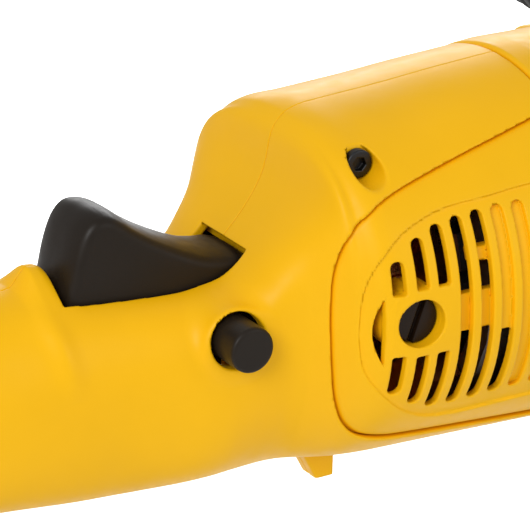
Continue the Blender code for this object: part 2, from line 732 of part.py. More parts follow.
def armature():
    place = head(0, 0, 0)
    spin = pivot("armature_spin", place)
    keys = {"origin": place, "parent": spin}
    shaft = [(4.0, -20), (4.0, -9), (6.0, -9), (6.0, 112), (PINION_BORE_R, 112), (PINION_BORE_R, 144)]
    solid("armature_shaft", *turned(place, (1, 0, 0), shaft, 16), "steel", **keys)
    slots = 12
    outline = []
    for i in range(slots):
        pitch = 360 / slots
        outline += arc(0, 0, 26.2, i * pitch + 4, i * pitch + pitch - 4, 2)
        outline += arc(0, 0, 21.0, i * pitch + pitch - 3, i * pitch + pitch + 3, 1)
    hole = 6.0 + GAP
    sleeve = 8.0
    core = rings_mesh([[head(x, y, z) for y, z in outline] for x in (26, 74)])
    core = solid("armature_core", *core, "laminations", **keys)
    cut(core, solid("core_bore", *rod(head(20, 0, 0), head(80, 0, 0), sleeve + GAP, 16)))
    profile = [
        (hole, 16.6), (17, 16.6), (23.5, 20.1), (23.5, 25.7), (sleeve, 25.7), (sleeve, 74.3),
        (23.5, 74.3), (23.5, 80.3), (16, 83.8), (hole, 83.8),
    ]
    solid("armature_winding", *turned_ring(place, (1, 0, 0), profile, 20), "copper", **keys)
    bars = 16
    outline = []
    for i in range(bars):
        outline += arc(0, 0, 17.0, 360 / bars * i, 360 / bars * (i + 0.82), 1)
        outline += arc(0, 0, 16.2, 360 / bars * (i + 0.84), 360 / bars * (i + 0.98), 1)
    outline.reverse()
    bars_mesh = rings_mesh([[head(x, y, z) for y, z in outline] for x in (-8, 16.2)])
    comm = solid("commutator", *bars_mesh, "copper", **keys)
    cut(comm, solid("commutator_bore", *rod(head(-20, 0, 0), head(20, 0, 0), hole, 16)))
    hub = tube(head(89, 0, 0), head(99, 0, 0), hole, 11)
    fan = solid("cooling_fan", *hub, "black_plastic", **keys)
    fuse(fan, solid("fan_disc", *tube(head(97, 0, 0), head(99.4, 0, 0), 10, 42, 20)))
    blades = []
    for i in range(7):
        a = math.radians(360 / 7 * i)
        lean = math.radians(14)
        start = Vector((0, math.cos(a), math.sin(a)))
        along = Vector((0, math.cos(a + lean), math.sin(a + lean)))
        across = Vector((0, -math.sin(a + lean), math.cos(a + lean)))
        root, tip = start * 17, start * 17 + along * 24
        base = [root - across * 0.7, root + across * 0.7, tip + across * 0.7, tip - across * 0.7]
        low = [tuple(Vector(head(90.5, 0, 0)) + p) for p in base]
        high = [tuple(Vector(head(97.6, 0, 0)) + p) for p in base]
        blades.append(rings_mesh([low, high]))
    fuse(fan, solid("fan_blades", *joined(*blades)))
    return spin


def bearings_and_brushes():
    sizes = {"rear_bearing": (-19.5, 4.0, 11.0, 7.0), "front_bearing": (101.5, 6.0, 16.0, 10.0)}
    for name, (x, inner, outer, width) in sizes.items():
        solid(name, *tube(head(x, 0, 0), head(x + width, 0, 0), inner + GAP, outer, 24), "steel")
    bracket = tube(head(-22, 0, 0), head(-12, 0, 0), 11.0 + GAP, 15.0)
    thing = solid("bearing_bracket", *bracket, "black_plastic")
    spokes = [
        box(-22 + BRUSH_X, -18 + BRUSH_X, low, high, AXIS_Z - 6, AXIS_Z + 6)
        for low, high in ((-29.0, -14.2), (14.2, 29.0))
    ]
    fuse(thing, *[solid(f"bracket_arm_{i}", *s) for i, s in enumerate(spokes)])
    slot_turn = Matrix.Rotation(math.radians(28), 4, "Y")
    for side, label in ((-1, "right"), (1, "left")):
        face = side * BRUSH_CAP_Y
        radius = BRUSH_HOLE_R - GAP
        disc = turned(head(0, face, 0), (0, -side, 0), [(radius, 0), (radius, 5.0)], 14)
        cap = solid("brush_cap_" + label, *disc, "brown_plastic")
        y0, y1 = sorted((face - side * 1.6, face + side * 2))
        points, faces = box(-0.9, 0.9, y0, y1, -8, 8)
        points = [tuple(Vector(head(0, 0, 0)) + slot_turn @ Vector(p)) for p in points]
        cut(cap, solid("cap_slot_" + label, points, faces))
        brush = solid("carbon_brush_" + label, *brush_block(side, 17.3, 31.0, 3.7, 3.3), "carbon")
        spring = coil(head(0, side * 30.6, 0), (0, side, 0), 2.6, 0.4, 1.9, 4, 7, 3)
        fuse(brush, solid("brush_spring_" + label, *spring))


def brush_block(side, near, far, half_x, half_z):
    y0, y1 = sorted((side * near, side * far))
    return box(BRUSH_X - half_x, BRUSH_X + half_x, y0, y1, AXIS_Z - half_z, AXIS_Z + half_z)


# ---- gear head ---------------------------------------------------------------------------
def bevel_teeth(teeth, cone_angle, phase, thickness):
    """Outlines of a bevel gear about +Z at its large and small end, its apex at the origin above it."""
    large = []
    cone = math.radians(cone_angle)
    add, ded = 0.85 * GEAR_MODULE, 1.25 * GEAR_MODULE
    for i in range(teeth):
        for share, lift in ((-0.36, -ded), (-thickness, add), (thickness, add), (0.36, -ded)):
            a = 2 * math.pi * (i + share + phase) / teeth
            radius = CONE_OUTER * math.sin(cone) + lift * math.cos(cone)
            depth = CONE_OUTER * math.cos(cone) - lift * math.sin(cone)
            large.append(Vector((radius * math.cos(a), radius * math.sin(a), -depth)))
    return large, [p * (CONE_INNER / CONE_OUTER) for p in large]


def ring_below(outline, radius, z):
    """The outline's points pulled onto a circle about Z."""
    out = []
    for p in outline:
        flat = Vector((p.x, p.y, 0)).normalized() * radius
        out.append(Vector((flat.x, flat.y, z)))
    return out


def drive_gears(spin):
    """Pinion on the armature shaft, and the bevel gear on the upright shaft below it."""
    apex = Vector((0, 0, AXIS_Z))
    gear_cone = math.degrees(math.atan2(GEAR_TEETH, PINION_TEETH))
    large, small = bevel_teeth(GEAR_TEETH, gear_cone, 0.0, 0.13)
    back = -22.0
    loops = [ring_below(large, SHAFT_R + GAP, -11.0), small, large, ring_below(large, 31.4, back),
             ring_below(large, SHAFT_R + GAP, back)]
    mesh = rings_mesh([[tuple(p + apex) for p in loop] for loop in loops], closed_loop=True)
    line = pivot("drive_line_spin", apex)
    solid("bevel_gear", *mesh, "steel", origin=apex, parent=line)

    large, small = bevel_teeth(PINION_TEETH, 90 - gear_cone, 0.0, 0.13)
    bore = PINION_BORE_R + GAP
    loops = [ring_below(large, bore, small[0].z), small, large, ring_below(large, 8.6, large[0].z - 4.0),
             ring_below(large, bore, large[0].z - 4.0)]
    mesh = rings_mesh([[tuple(Vector((p.z, p.y, -p.x)) + apex) for p in loop] for loop in loops],
                      closed_loop=True)
    solid("drive_pinion", *mesh, "steel", origin=head(0, 0, 0), parent=spin)
    return line, apex


def case_bolt_places():
    return [(sx * CASE_BOLT_R / math.sqrt(2), sy * CASE_BOLT_R / math.sqrt(2)) for sx, sy in CORNERS]


def gear_case():
    """Cast right-angle case: a barrel along the motor axis and an upright bell over the bevel gear."""
    start = HOUSING_FRONT_X + GAP
    profile = [(53.0, start), (53.0, 109), (50.5, 112), (49.5, 128), (47.0, 150), (44.0, 165)]
    barrel = turned(head(0, 0, RING_Z), (1, 0, 0), profile, 20)
    case = solid("gear_case", *barrel, "cast_aluminium", smooth=35)
    bell = [(50.0, CASE_Z), (50.0, CASE_Z + 9), (47.0, CASE_Z + 13), (44.0, AXIS_Z), (44.0, AXIS_Z + 28),
            (40.0, AXIS_Z + 37), (31.0, AXIS_Z + 42.5), (16.0, AXIS_Z + 45)]
    fuse(case, solid("case_bell", *turned((0, 0, 0), (0, 0, 1), bell, 20)))
    x, z = SIDE_GRIP_X, SIDE_GRIP_Z
    bosses = [rod((x, side * 40, z), (x, side * 58, z), 13, 14) for side in (-1, 1)]
    bosses += [rod((a, b, CASE_Z), (a, b, CASE_Z + 14), 8.5, 8) for a, b in case_bolt_places()]
    fuse(case, *[solid(f"case_boss_{i}", *boss) for i, boss in enumerate(bosses)])
    lugs = [rod(head(start, y, z), head(start + 12, y, z), 6.5, 8) for y, z in housing_screw_places()]
    fuse(case, solid("case_lugs", *joined(*lugs)))
    seat = BEARING_R + GAP
    bore = [(47.0, start - 1), (47.0, 105), (seat, 105), (seat, 112), (12.0, 112), (12.0, 135)]
    pocket = [(38.0, CASE_Z - 1), (38.0, AXIS_Z + 14), (28.0, AXIS_Z + 27), (10.0, AXIS_Z + 32)]
    cut(case, solid("case_cavity", *turned(head(0, 0, 0), (1, 0, 0), bore, 16)),
        solid("case_pocket", *turned((0, 0, 0), (0, 0, 1), pocket, 16)))
    x, z = SIDE_GRIP_X, SIDE_GRIP_Z
    holes = [rod((x, side * 46, z), (x, side * 62, z), 6.0 + GAP, 14) for side in (-1, 1)]
    cut(case, solid("case_holes", *joined(*holes)))


def output_parts(line, apex):
    """The lower half of the gear case, its shaft and bearing, the column and the long shaft in it."""
    keys = {"origin": apex, "parent": line}
    seat, tube_r = BEARING_R + GAP, COLUMN_R + GAP
    holder = [
        (14.0, 0), (14.0, 4.0), (seat, 4.0), (seat, 19.0), (20.5, 19.0), (20.5, 14.0), (36.8, 12.0),
        (36.8, BOX_T), (52.0, BOX_T), (52.0, 0), (SOCKET_R, 0), (SOCKET_R, -36), (tube_r, -36),
        (tube_r, -1),
    ]
    box_part = solid("bearing_box", *turned_ring((0, 0, BOX_Z), (0, 0, 1), holder, 20), "cast_aluminium")
    screw_zs = {"upper": BOX_Z - 18.0, "lower": COLUMN_Z + 20.0}
    holes = [rod((0, -40, z), (0, 0, z), 2.5 + GAP, 10) for z in screw_zs.values()]
    cut(box_part, solid("bearing_box_holes", *joined(*holes)))
    z = BOX_Z + 4.3
    bearing = tube((0, 0, z), (0, 0, z + BEARING_W), SHAFT_R + GAP, BEARING_R)
    solid("output_bearing", *bearing, "steel")
    shaft = [(12.0, BOX_Z - 32), (12.0, BOX_Z - 2), (SHAFT_R, BOX_Z - 2), (SHAFT_R, AXIS_Z - 9.0)]
    output = solid("output_shaft", *turned((0, 0, 0), (0, 0, 1), shaft, 20), "steel", **keys)
    key = 4.5
    hole = key + GAP
    cut(output, solid("shaft_socket", *box(-hole, hole, -hole, hole, BOX_Z - 34, BOX_Z - 7)))

    column = tube((0, 0, COLUMN_Z + GAP), (0, 0, BOX_Z - 1 - GAP), COLUMN_R - COLUMN_WALL, COLUMN_R, 20)
    column = solid("column_tube", *column, "aluminium")
    cut(column, solid("column_holes", *joined(*holes)))
    for label, z in screw_zs.items():
        screw = cap_screw((0, -SOCKET_R - GAP, z), (0, -1, 0), 4.6, 4.0, 2.5, 10.0, 2.0)
        solid("column_screw_" + label, *screw, "dark_steel")
    return screw_zs["lower"]


def coupling_and_shafts(line, apex):
    """Long drive shaft, its rubber coupling, and the exciter's shaft with its weight."""
    keys = {"origin": apex, "parent": line}
    lower_top = COUPLING_Z + 11.0
    upper_z = lower_top + 3.0
    key = 4.5
    shaft = [(SHAFT_R, upper_z), (SHAFT_R, COLUMN_Z + 2), (6.0, COLUMN_Z + 3), (6.0, BOX_Z - 32)]
    shaft = solid("drive_shaft", *turned((0, 0, 0), (0, 0, 1), shaft, 16), "steel", **keys)
    fuse(shaft, solid("shaft_key", *box(-key, key, -key, key, BOX_Z - 34, BOX_Z - 7 - GAP)))
    bore_r = SHAFT_R + GAP
    sleeve = [
        (bore_r, 0), (19.0, 0), (19.0, 8), (16.0, 10), (16.0, 15), (19.0, 17), (19.0, 25), (bore_r, 25),
    ]
    sleeve = turned_ring((0, 0, COUPLING_Z), (0, 0, 1), sleeve, 18)
    solid("flexible_coupling", *sleeve, "black_rubber", **keys)

    floor = EXCITER_Z + 5.0
    wide = 11.0
    profile = [
        (SHAFT_R, floor + 0.6), (SHAFT_R, floor + 11.8), (wide, floor + 11.8), (wide, COVER_Z - 10.8),
        (SHAFT_R, COVER_Z - 10.8), (SHAFT_R, lower_top),
    ]
    solid("exciter_shaft", *turned((0, 0, 0), (0, 0, 1), profile, 16), "steel", **keys)
    outline = arc(0, 0, 36.0, -80, 80, 12) + arc(0, 0, 16.0, 100, 260, 8)
    weight = rings_mesh([[(x, y, z) for x, y in outline] for z in (floor + 14, COVER_Z - 13.5)])
    weight = solid("eccentric_weight", *weight, "dark_steel", **keys)
    cut(weight, solid("weight_bore", *rod((0, 0, floor), (0, 0, COVER_Z), wide + GAP, 16)))


def square_plate(z, thickness):
    """A square plate with rounded corners."""
    r = 12.0
    c = PLATE_HALF - r
    outline = []
    for i, (sx, sy) in enumerate(((1, 1), (-1, 1), (-1, -1), (1, -1))):
        outline += arc(sx * c, sy * c, r, 90 * i, 90 * i + 90, 2)
    return rings_mesh([[(x, y, zz) for x, y in outline] for zz in (z, z + thickness)])


def exciter_parts():
    """Bolted-down housing of the vibrator, its bearings and cover, and the rubber mounts above."""
    floor, seat = EXCITER_Z, BEARING_R + GAP
    top = floor + EXCITER_H
    flange = box(-FLANGE_X, FLANGE_X, -FLANGE_Y, FLANGE_Y, floor, floor + FLANGE_T)
    thing = solid("exciter_housing", *flange, "cast_aluminium")
    round_edges(thing, 1.5, 1)
    corners = [(sx * ISOLATOR_AT, sy * ISOLATOR_AT) for sx, sy in CORNERS]
    posts = []
    for i, (x, y) in enumerate(corners):
        posts.append(solid(f"exciter_post_{i}", *rod((x, y, floor + 0.5), (x, y, top), 7.6, 10)))
    fuse(thing, solid("exciter_cup", *rod((0, 0, floor + 0.5), (0, 0, top), EXCITER_R, 24)), *posts)
    inner = EXCITER_R - 5.0
    cup = [(seat, floor + 4.0), (seat, floor + 10.0), (inner, floor + 10.0), (inner, top + 1)]
    holes = [turned((0, 0, 0), (0, 0, 1), cup, 20)]
    holes += [rod((x, y, top - 12), (x, y, top + 1), 3.0 + GAP, 10) for x, y in corners]
    holes += [rod((x, y, floor - 1), (x, y, floor + 10), 4.0 + GAP, 12) for x, y in BLADE_BOLTS]
    cut(thing, solid("exciter_holes", *joined(*holes)))
    for label, z in (("lower", floor + 4.3), ("upper", COVER_Z - 7.3)):
        bearing = tube((0, 0, z), (0, 0, z + BEARING_W - 3), SHAFT_R + GAP, BEARING_R)
        solid("exciter_bearing_" + label, *bearing, "steel")
    for i, (x, y) in enumerate(BLADE_BOLTS):
        bolt = cap_screw((x, y, floor + FLANGE_T + GAP), (0, 0, 1), 6.5, 5.2, 4.0, FLANGE_T + 10.0, 3.2)
        solid(f"blade_bolt_{i + 1}", *bolt, "steel")

    cover = solid("exciter_cover", *square_plate(COVER_Z, PLATE_T), "steel_plate")
    fuse(cover, solid("cover_seat", *rod((0, 0, COVER_Z - 9.0), (0, 0, COVER_Z + 1.0), 20.5, 16)))
    cover_holes = [turned((0, 0, COVER_Z), (0, 0, 1), [(seat, -10), (seat, 0), (11.0, 0), (11.0, 8)], 16)]
    foot_holes = []
    for i, (x, y) in enumerate(corners):
        waist = ISOLATOR_R - 1.5
        profile = [(3.0, -PLATE_T - 10), (3.0, 0), (ISOLATOR_R, 0), (waist, 7), (waist, ISOLATOR_H - 7),
                   (ISOLATOR_R, ISOLATOR_H), (3.0, ISOLATOR_H), (3.0, ISOLATOR_H + PLATE_T + 2)]
        solid(f"isolator_{i + 1}", *turned((x, y, ISOLATOR_Z), (0, 0, 1), profile, 10), "black_rubber")
        cover_holes.append(rod((x, y, COVER_Z - 1), (x, y, COVER_Z + PLATE_T + 1), 3.0 + GAP, 10))
        foot_holes.append(rod((x, y, FOOT_Z - 1), (x, y, FOOT_Z + PLATE_T + 1), 3.0 + GAP, 10))
    cut(cover, solid("cover_holes", *joined(*cover_holes)))
    return foot_holes


def column_foot(foot_holes, screw_z):
    """Square plate on the rubber mounts, with the column's socket and two ears for the stand."""
    foot = solid("column_foot", *square_plate(FOOT_Z, PLATE_T), "steel_plate")
    px, pz = STAND_PIVOT
    ears = []
    for side in (-1, 1):
        y0, y1 = sorted((side * 38.0, side * 43.0))
        outline = [(-50.0, FOOT_Z), (-50.0, FOOT_Z + PLATE_T), *arc(px, pz, 8.0, 30, 210, 6), (px, FOOT_Z)]
        ears.append(rings_mesh([[(x, y, z) for x, z in outline] for y in (y0, y1)]))
    socket = rod((0, 0, FOOT_Z + 1), (0, 0, COLUMN_Z + 36), SOCKET_R, 20)
    fuse(foot, solid("foot_ears", *joined(*ears)), solid("foot_socket", *socket))
    seat = BEARING_R + GAP
    bore = [
        (24.0, FOOT_Z - 1), (24.0, FOOT_Z + 5), (seat, FOOT_Z + 5), (seat, COLUMN_Z - 2.5),
        (13.0, COLUMN_Z - 2.5), (13.0, COLUMN_Z), (COLUMN_R + GAP, COLUMN_Z), (COLUMN_R + GAP, COLUMN_Z + 40),
    ]
    screw_hole = rod((0, -40, screw_z), (0, 0, screw_z), 2.5 + GAP, 10)
    axle_hole = rod((px, -50, pz), (px, 50, pz), STAND_R + GAP, 14)
    bore = solid("foot_bore", *turned((0, 0, 0), (0, 0, 1), bore, 20))
    cut(foot, bore, solid("foot_holes", *joined(*foot_holes, screw_hole, axle_hole)))
    z = COLUMN_Z - 2.5 - GAP
    solid("column_bearing", *tube((0, 0, z - BEARING_W), (0, 0, z), SHAFT_R + GAP, BEARING_R), "steel")


# ---- side grip, stand, blade -------------------------------------------------------------
def side_grip():
    """Moulded grip with its threaded stud cast in."""
    x, z = SIDE_GRIP_X, SIDE_GRIP_Z
    start = 58.0 + GAP
    profile = [(6.0, -11.5), (6.0, 0), (15.0, 0), (15.0, 5), (21.5, 7), (21.5, 11), (14.5, 16), (16.8, 40),
               (17.4, 70), (15.4, 98), (19.5, 112), (19.5, 118), (14.0, 124)]
    solid("side_grip", *turned((x, start, z), (0, 1, 0), profile, 14), "black_rubber")


def stand():
    """Bent wire prop with a cross bar on the ground, hinged in the ears of the column foot."""
    px, pz = STAND_PIVOT
    place = (px, 0, pz)
    fold = pivot("stand_fold", place)
    fx, fz = STAND_FOOT_X, STAND_R
    slope = (pz - fz) / (px - fx)
    half = [(px, 33, pz), (px, 46, pz), (px - 2, 51.4, pz - 1.0), (px - 9, 54, pz - 9 * slope)]
    for share, y in ((0.3, 64), (0.6, 76), (0.9, 87)):
        x = px + (fx - px) * share
        half.append((x, y, pz + (x - px) * slope))
    half += [(fx + 6, 86, fz + 2.0), (fx, 76, fz), (fx, 40, fz)]
    route = half + [(x, -y, z) for x, y, z in half[::-1]]
    thing = wire_curve("kick_stand", [route], STAND_R, "steel", place, fold)


def blade_parts():
    """Extruded blade: a flat sole, an upright strike-off face towards the operator and a hollow rib."""
    half = BLADE_LENGTH / 2
    r, t, w = RIB_HALF_W, SOLE_T, RIB_WALL
    outline = [
        (BLADE_REAR_X, 3.0), (BLADE_REAR_X + 3.0, 0), (BLADE_FRONT_X - 5, 0), (BLADE_FRONT_X, 3.0),
        (BLADE_FRONT_X, 9.0), (BLADE_FRONT_X - 3, 9.0), (BLADE_FRONT_X - 5, t), (r, t), (r, RIB_TOP_Z),
        (-r, RIB_TOP_Z), (-r, t), (BLADE_REAR_X + 4, t), (BLADE_REAR_X + 4, 27.0), (BLADE_REAR_X, 29.0),
    ]
    blade = rings_mesh([[(x, y, z) for x, z in outline] for y in (-half, half)])
    blade = solid("screed_blade", *blade, "aluminium")
    cut(blade, solid("blade_hollow", *box(-r + w, r - w, -half - 1, half + 1, t, RIB_TOP_Z - w)))
    holes = [rod((x, y, RIB_TOP_Z - 6), (x, y, RIB_TOP_Z + 3), 4.0 + GAP, 10) for x, y in BLADE_BOLTS]
    cut(blade, solid("blade_bolt_holes", *joined(*holes)))
    side_view = [
        (BLADE_REAR_X, 3.0), (BLADE_REAR_X + 3.0, 0), (BLADE_FRONT_X - 5.0, 0), (BLADE_FRONT_X, 3.0),
        (BLADE_FRONT_X, 9.0), (r, 14.0), (r, RIB_TOP_Z), (-r, RIB_TOP_Z), (BLADE_REAR_X, 29.0),
    ]
    inner = r - w - GAP
    for side, label in ((-1, "right"), (1, "left")):
        y0, y1 = side * (half + GAP), side * (half + 5.0)
        cap = rings_mesh([[(x, y, z) for x, z in side_view] for y in (y0, y1)])
        cap = solid("blade_cap_" + label, *cap, "black_plastic")
        low, high = sorted((side * (half - 14.0), side * (half + 1.0)))
        plug = box(-inner, inner, low, high, t + GAP, RIB_TOP_Z - w - GAP)
        fuse(cap, solid("cap_plug_" + label, *plug))


def main():
    for thing in list(bpy.data.objects):
        bpy.data.objects.remove(thing)
    material("yellow_plastic", (0.95, 0.55, 0.02), 0.42)
    material("black_plastic", (0.03, 0.028, 0.025), 0.5)
    material("brown_plastic", (0.05, 0.035, 0.025), 0.35)
    material("red_plastic", (0.5, 0.04, 0.02), 0.4)
    material("black_rubber", (0.02, 0.02, 0.02), 0.8)
    material("steel", (0.55, 0.55, 0.56), 0.3, 1.0)
    material("dark_steel", (0.08, 0.08, 0.085), 0.4, 1.0)
    material("steel_plate", (0.45, 0.46, 0.48), 0.45, 1.0)
    material("laminations", (0.22, 0.22, 0.24), 0.5, 1.0)
    material("copper", (0.72, 0.33, 0.14), 0.4, 1.0)
    material("carbon", (0.04, 0.04, 0.045), 0.6)
    material("aluminium", (0.78, 0.79, 0.8), 0.35, 1.0)
    material("cast_aluminium", (0.6, 0.61, 0.62), 0.55, 1.0)

    shell("handle_shell_right", -1)
    shell("handle_shell_left", 1)
    shell_screws()
    trigger_parts()
    lock_button()
    switch_parts()
    cord_inlet()
    motor_housing()
    stator()
    spin = armature()
    bearings_and_brushes()
    line, apex = drive_gears(spin)
    gear_case()
    foot_screw_z = output_parts(line, apex)
    coupling_and_shafts(line, apex)
    column_foot(exciter_parts(), foot_screw_z)
    side_grip()
    stand()
    blade_parts()


main()
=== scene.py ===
"""Looks of the power screed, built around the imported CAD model.

The power head's moulded and cast pieces are made again as smooth solids: each is the zero surface
of a distance function in millimetres, meshed by surface nets. The head frame has its origin where
the motor axis meets the brush axis, with the row frame's directions.
"""

import json
import math

import bpy
import numpy as np
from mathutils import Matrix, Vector


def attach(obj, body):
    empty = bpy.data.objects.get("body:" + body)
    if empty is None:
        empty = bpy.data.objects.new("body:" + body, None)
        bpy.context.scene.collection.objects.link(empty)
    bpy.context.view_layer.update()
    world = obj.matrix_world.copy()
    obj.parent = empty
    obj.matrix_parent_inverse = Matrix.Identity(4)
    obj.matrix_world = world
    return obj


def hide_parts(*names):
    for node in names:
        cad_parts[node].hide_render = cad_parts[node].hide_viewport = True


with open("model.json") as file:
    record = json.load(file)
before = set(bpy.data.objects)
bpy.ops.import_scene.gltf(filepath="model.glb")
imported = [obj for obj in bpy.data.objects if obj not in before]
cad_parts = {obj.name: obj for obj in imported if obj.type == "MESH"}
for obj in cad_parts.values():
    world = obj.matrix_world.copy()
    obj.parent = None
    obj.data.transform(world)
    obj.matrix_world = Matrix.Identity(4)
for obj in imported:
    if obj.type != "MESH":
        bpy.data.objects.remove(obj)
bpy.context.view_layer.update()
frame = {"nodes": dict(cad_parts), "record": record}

MM = 0.001
HEAD = np.array((-165.0, 0.0, 860.0))  # origin of the head frame in the row frame
COARSE = 1.0

# ---- form of the handle shells, head frame: (x, value) ------------------------------------
CREST = (
    (-216, 10.5), (-204, 11.0), (-185, 8.5), (-150, 10.0), (-120, 11.5), (-100, 12.4), (-84, 11.6),
    (-64, 9.2), (-53, 8.0), (-45, 7.4), (-41.7, 8.0), (-37.7, 9.6), (-34, 12.0), (-30.5, 15.6),
    (-26.6, 19.6), (-23.4, 23.6), (-21.1, 27.0), (-19.0, 31.3), (-17.9, 35.3), (-17.1, 39.8),
    (-15.5, 42.9), (-12.3, 45.7), (-7.1, 47.0), (0, 47.4), (17, 48.3), (33, 49.5), (60, 51.0),
)
KEEL = (
    (-216, -43), (-204, -43.5), (-185, -40.5), (-150, -42.0), (-120, -43.6), (-100, -45.6),
    (-76, -47.8), (-48, -48.6), (-27, -48.6), (-8, -49.4), (11, -50.2), (60, -52.6),
)
MIDDLE = (
    (-216, -17), (-55, -17.5), (-45, -16), (-40, -13.5), (-36, -11), (-32, -8.5), (-28, -6),
    (-24, -4.5), (-18, -3), (-10, -1.8), (0, -1.2), (60, -1.0),
)
HALF_WIDTH = (
    (-216, 22.5), (-204, 23.0), (-185, 20.5), (-150, 21.5), (-120, 21.2), (-100, 22.0), (-90, 22.4),
    (-81, 22.9), (-75, 23.3), (-60, 25.4), (-50, 27.4), (-45, 28.2), (-36, 29.0), (-30, 30.0),
    (-25, 32.0), (-20, 36.6), (-15, 43.0), (-10, 47.4), (-5, 49.3), (0, 50.2), (30, 51.2), (60, 52.0),
)
UPPER_POWER = (
    (-216, 2.3), (-100, 2.3), (-84, 2.6), (-55, 2.8), (-45, 3.2), (-34, 4.0), (-25, 5.6), (-21, 6.2),
    (-19, 5.6), (-17, 3.7), (-14, 2.6), (0, 2.15), (60, 2.05),
)
LOWER_POWER = ((-216, 2.3), (-60, 2.4), (-34, 2.3), (-10, 2.1), (60, 2.05))
HUMP = ((-100, 0), (-94, 1.0), (-91, 4.4), (-89, 6.2), (-87, 6.2), (-84.5, 5.0), (-78, 0))
HUMP_REACH = 8.5
HANDLE_END_X = -216.0
SEAM_X = 52.8
WALL = 3.2
SPLIT = 0.08  # half the gap between the two shells
TONGUE_TOP = (
    (-19.6, -3.0), (-19.6, 6.0), (-19.0, 14.5), (-16.6, 22.3), (-11.5, 28.0), (-2.8, 32.0), (22.0, 37.0),
    (60.0, 43.4),
)
TONGUE_BOTTOM = (
    (-19.6, -3.0), (-19.2, -12.0), (-17.9, -21.6), (-14.6, -29.8), (-7.6, -34.4), (9.2, -37.4),
    (60.0, -43.4),
)
TONGUE_RECESS = 1.25
OVAL = (
    (60, 28.7), (35, 28.7), (24.9, 28.0), (11.2, 27.4), (2.4, 25.6), (-4.8, 22.6), (-10.9, 16.7),
    (-14.0, 9.1), (-14.9, -0.4), (-14.7, -6.4), (-13.9, -11.5), (-11.5, -16.4), (-5.9, -22.7),
    (0.7, -27.4), (8.8, -30.6), (19.2, -31.6), (37.6, -31.0), (60, -30.6),
)
SHELL_SCREWS = ((-6.4, 38.2), (-118.0, -16.0), (-196.0, -16.0))
SCREW_HOLE_R = 4.3
BUTTON_X, BUTTON_Z = -43.2, -2.4
BUTTON_R, BUTTON_HOLE_R = 6.2, 7.5
BUTTON_FACE_Y, BUTTON_FLANGE_Y = -35.6, -18.8
SLOT_HALF_W = 11.3
BRUSH_HOLE_R = 6.5
VENT_W, VENT_PITCH, VENT_FIRST_BLIND = 3.6, 6.3, 25.8
RING_Z = -0.8
RING_EDGE = ((53, 51.5), (54.4, 52.1), (60, 52.5), (76, 52.2), (92, 51.6), (96, 52.5), (103, 52.9))
HOUSING_FRONT_X = 103.0


# ---- distance functions --------------------------------------------------------------------
def curve(knots, x):
    """Smooth curve through (x, value) knots that never overshoots them."""
    kx = np.array([k[0] for k in knots], float)
    kv = np.array([k[1] for k in knots], float)
    chord = np.diff(kv) / np.diff(kx)
    slope = np.zeros(len(kx))
    slope[0], slope[-1] = chord[0], chord[-1]
    a, b = chord[:-1], chord[1:]
    same = a * b > 0
    slope[1:-1][same] = (2 * a * b / np.where(same, a + b, 1.0))[same]
    x = np.clip(x, kx[0], kx[-1])
    i = np.clip(np.searchsorted(kx, x, side="right") - 1, 0, len(kx) - 2)
    span = kx[i + 1] - kx[i]
    t = (x - kx[i]) / span
    return ((2 * t**3 - 3 * t**2 + 1) * kv[i] + (t**3 - 2 * t**2 + t) * span * slope[i]
            + (3 * t**2 - 2 * t**3) * kv[i + 1] + (t**3 - t**2) * span * slope[i + 1])


TRACK_STEP = 0.25
track_x = np.arange(-230.0, 75.0, TRACK_STEP)


def track(knots, blur=5):
    """A knot curve sampled and rounded off a little, with its slope."""
    values = curve(knots, track_x)
    kernel = np.hanning(blur + 2)[1:-1]
    padded = np.pad(values, blur // 2, mode="edge")
    values = np.convolve(padded, kernel / kernel.sum(), mode="valid")
    return values, np.gradient(values, TRACK_STEP)


TRACKS = {
    "mid": track(MIDDLE, 9), "wide": track(HALF_WIDTH, 9), "crest": track(CREST, 7),
    "keel": track(KEEL, 9), "up": track(UPPER_POWER, 9), "low": track(LOWER_POWER, 9),
    "hump": track(HUMP, 5),
}


def along(name, x):
    values, slopes = TRACKS[name]
    return np.interp(x, track_x, values), np.interp(x, track_x, slopes)


def body_form(x, y, z):
    """Distance to the outside of the handle and motor body."""
    mid, mid_s = along("mid", x)
    wide, wide_s = along("wide", x)
    ridge = np.exp(-(((x + 88.5 + 0.18 * z) / 3.4) ** 2)) * np.clip((z + 12) / 18, 0, 1)
    wide = wide + 2.0 * ridge
    crest, crest_s = along("crest", x)
    keel, keel_s = along("keel", x)
    hump, _ = along("hump", x)
    lift = np.where(x < -78, hump * np.exp(-((y / HUMP_REACH) ** 2)), 0.0)
    z = np.where(z > mid, mid + (z - mid) * (crest - mid) / (crest - mid + lift), z)
    top = z >= mid
    high = np.where(top, crest - mid, mid - keel)
    high_s = np.where(top, crest_s - mid_s, mid_s - keel_s)
    power = np.where(top, along("up", x)[0], along("low", x)[0])
    u, v = np.abs(y) / wide + 1e-6, np.abs(z - mid) / high + 1e-6
    r = (u**power + v**power) ** (1 / power)
    gu, gv = (u / r) ** (power - 1), (v / r) ** (power - 1)
    gx = -gu * u * wide_s / wide - gv * (v * high_s + np.where(top, 1, -1) * mid_s) / high
    size = np.sqrt((gu / wide) ** 2 + (gv / high) ** 2 + gx**2)
    return (r - 1) / np.maximum(size, 0.004)


def smax(a, b, k):
    """Greater of two distances, with the edge between them rounded."""
    h = np.clip(0.5 + 0.5 * (a - b) / k, 0, 1)
    return b + (a - b) * h + k * h * (1 - h)


def smin(a, b, k):
    """Lesser of two distances, with the corner between them filled."""
    return -smax(-a, -b, k)


def rod_y(x, z, cx, cz, r):
    """Distance to an endless rod along Y."""
    return np.hypot(x - cx, z - cz) - r


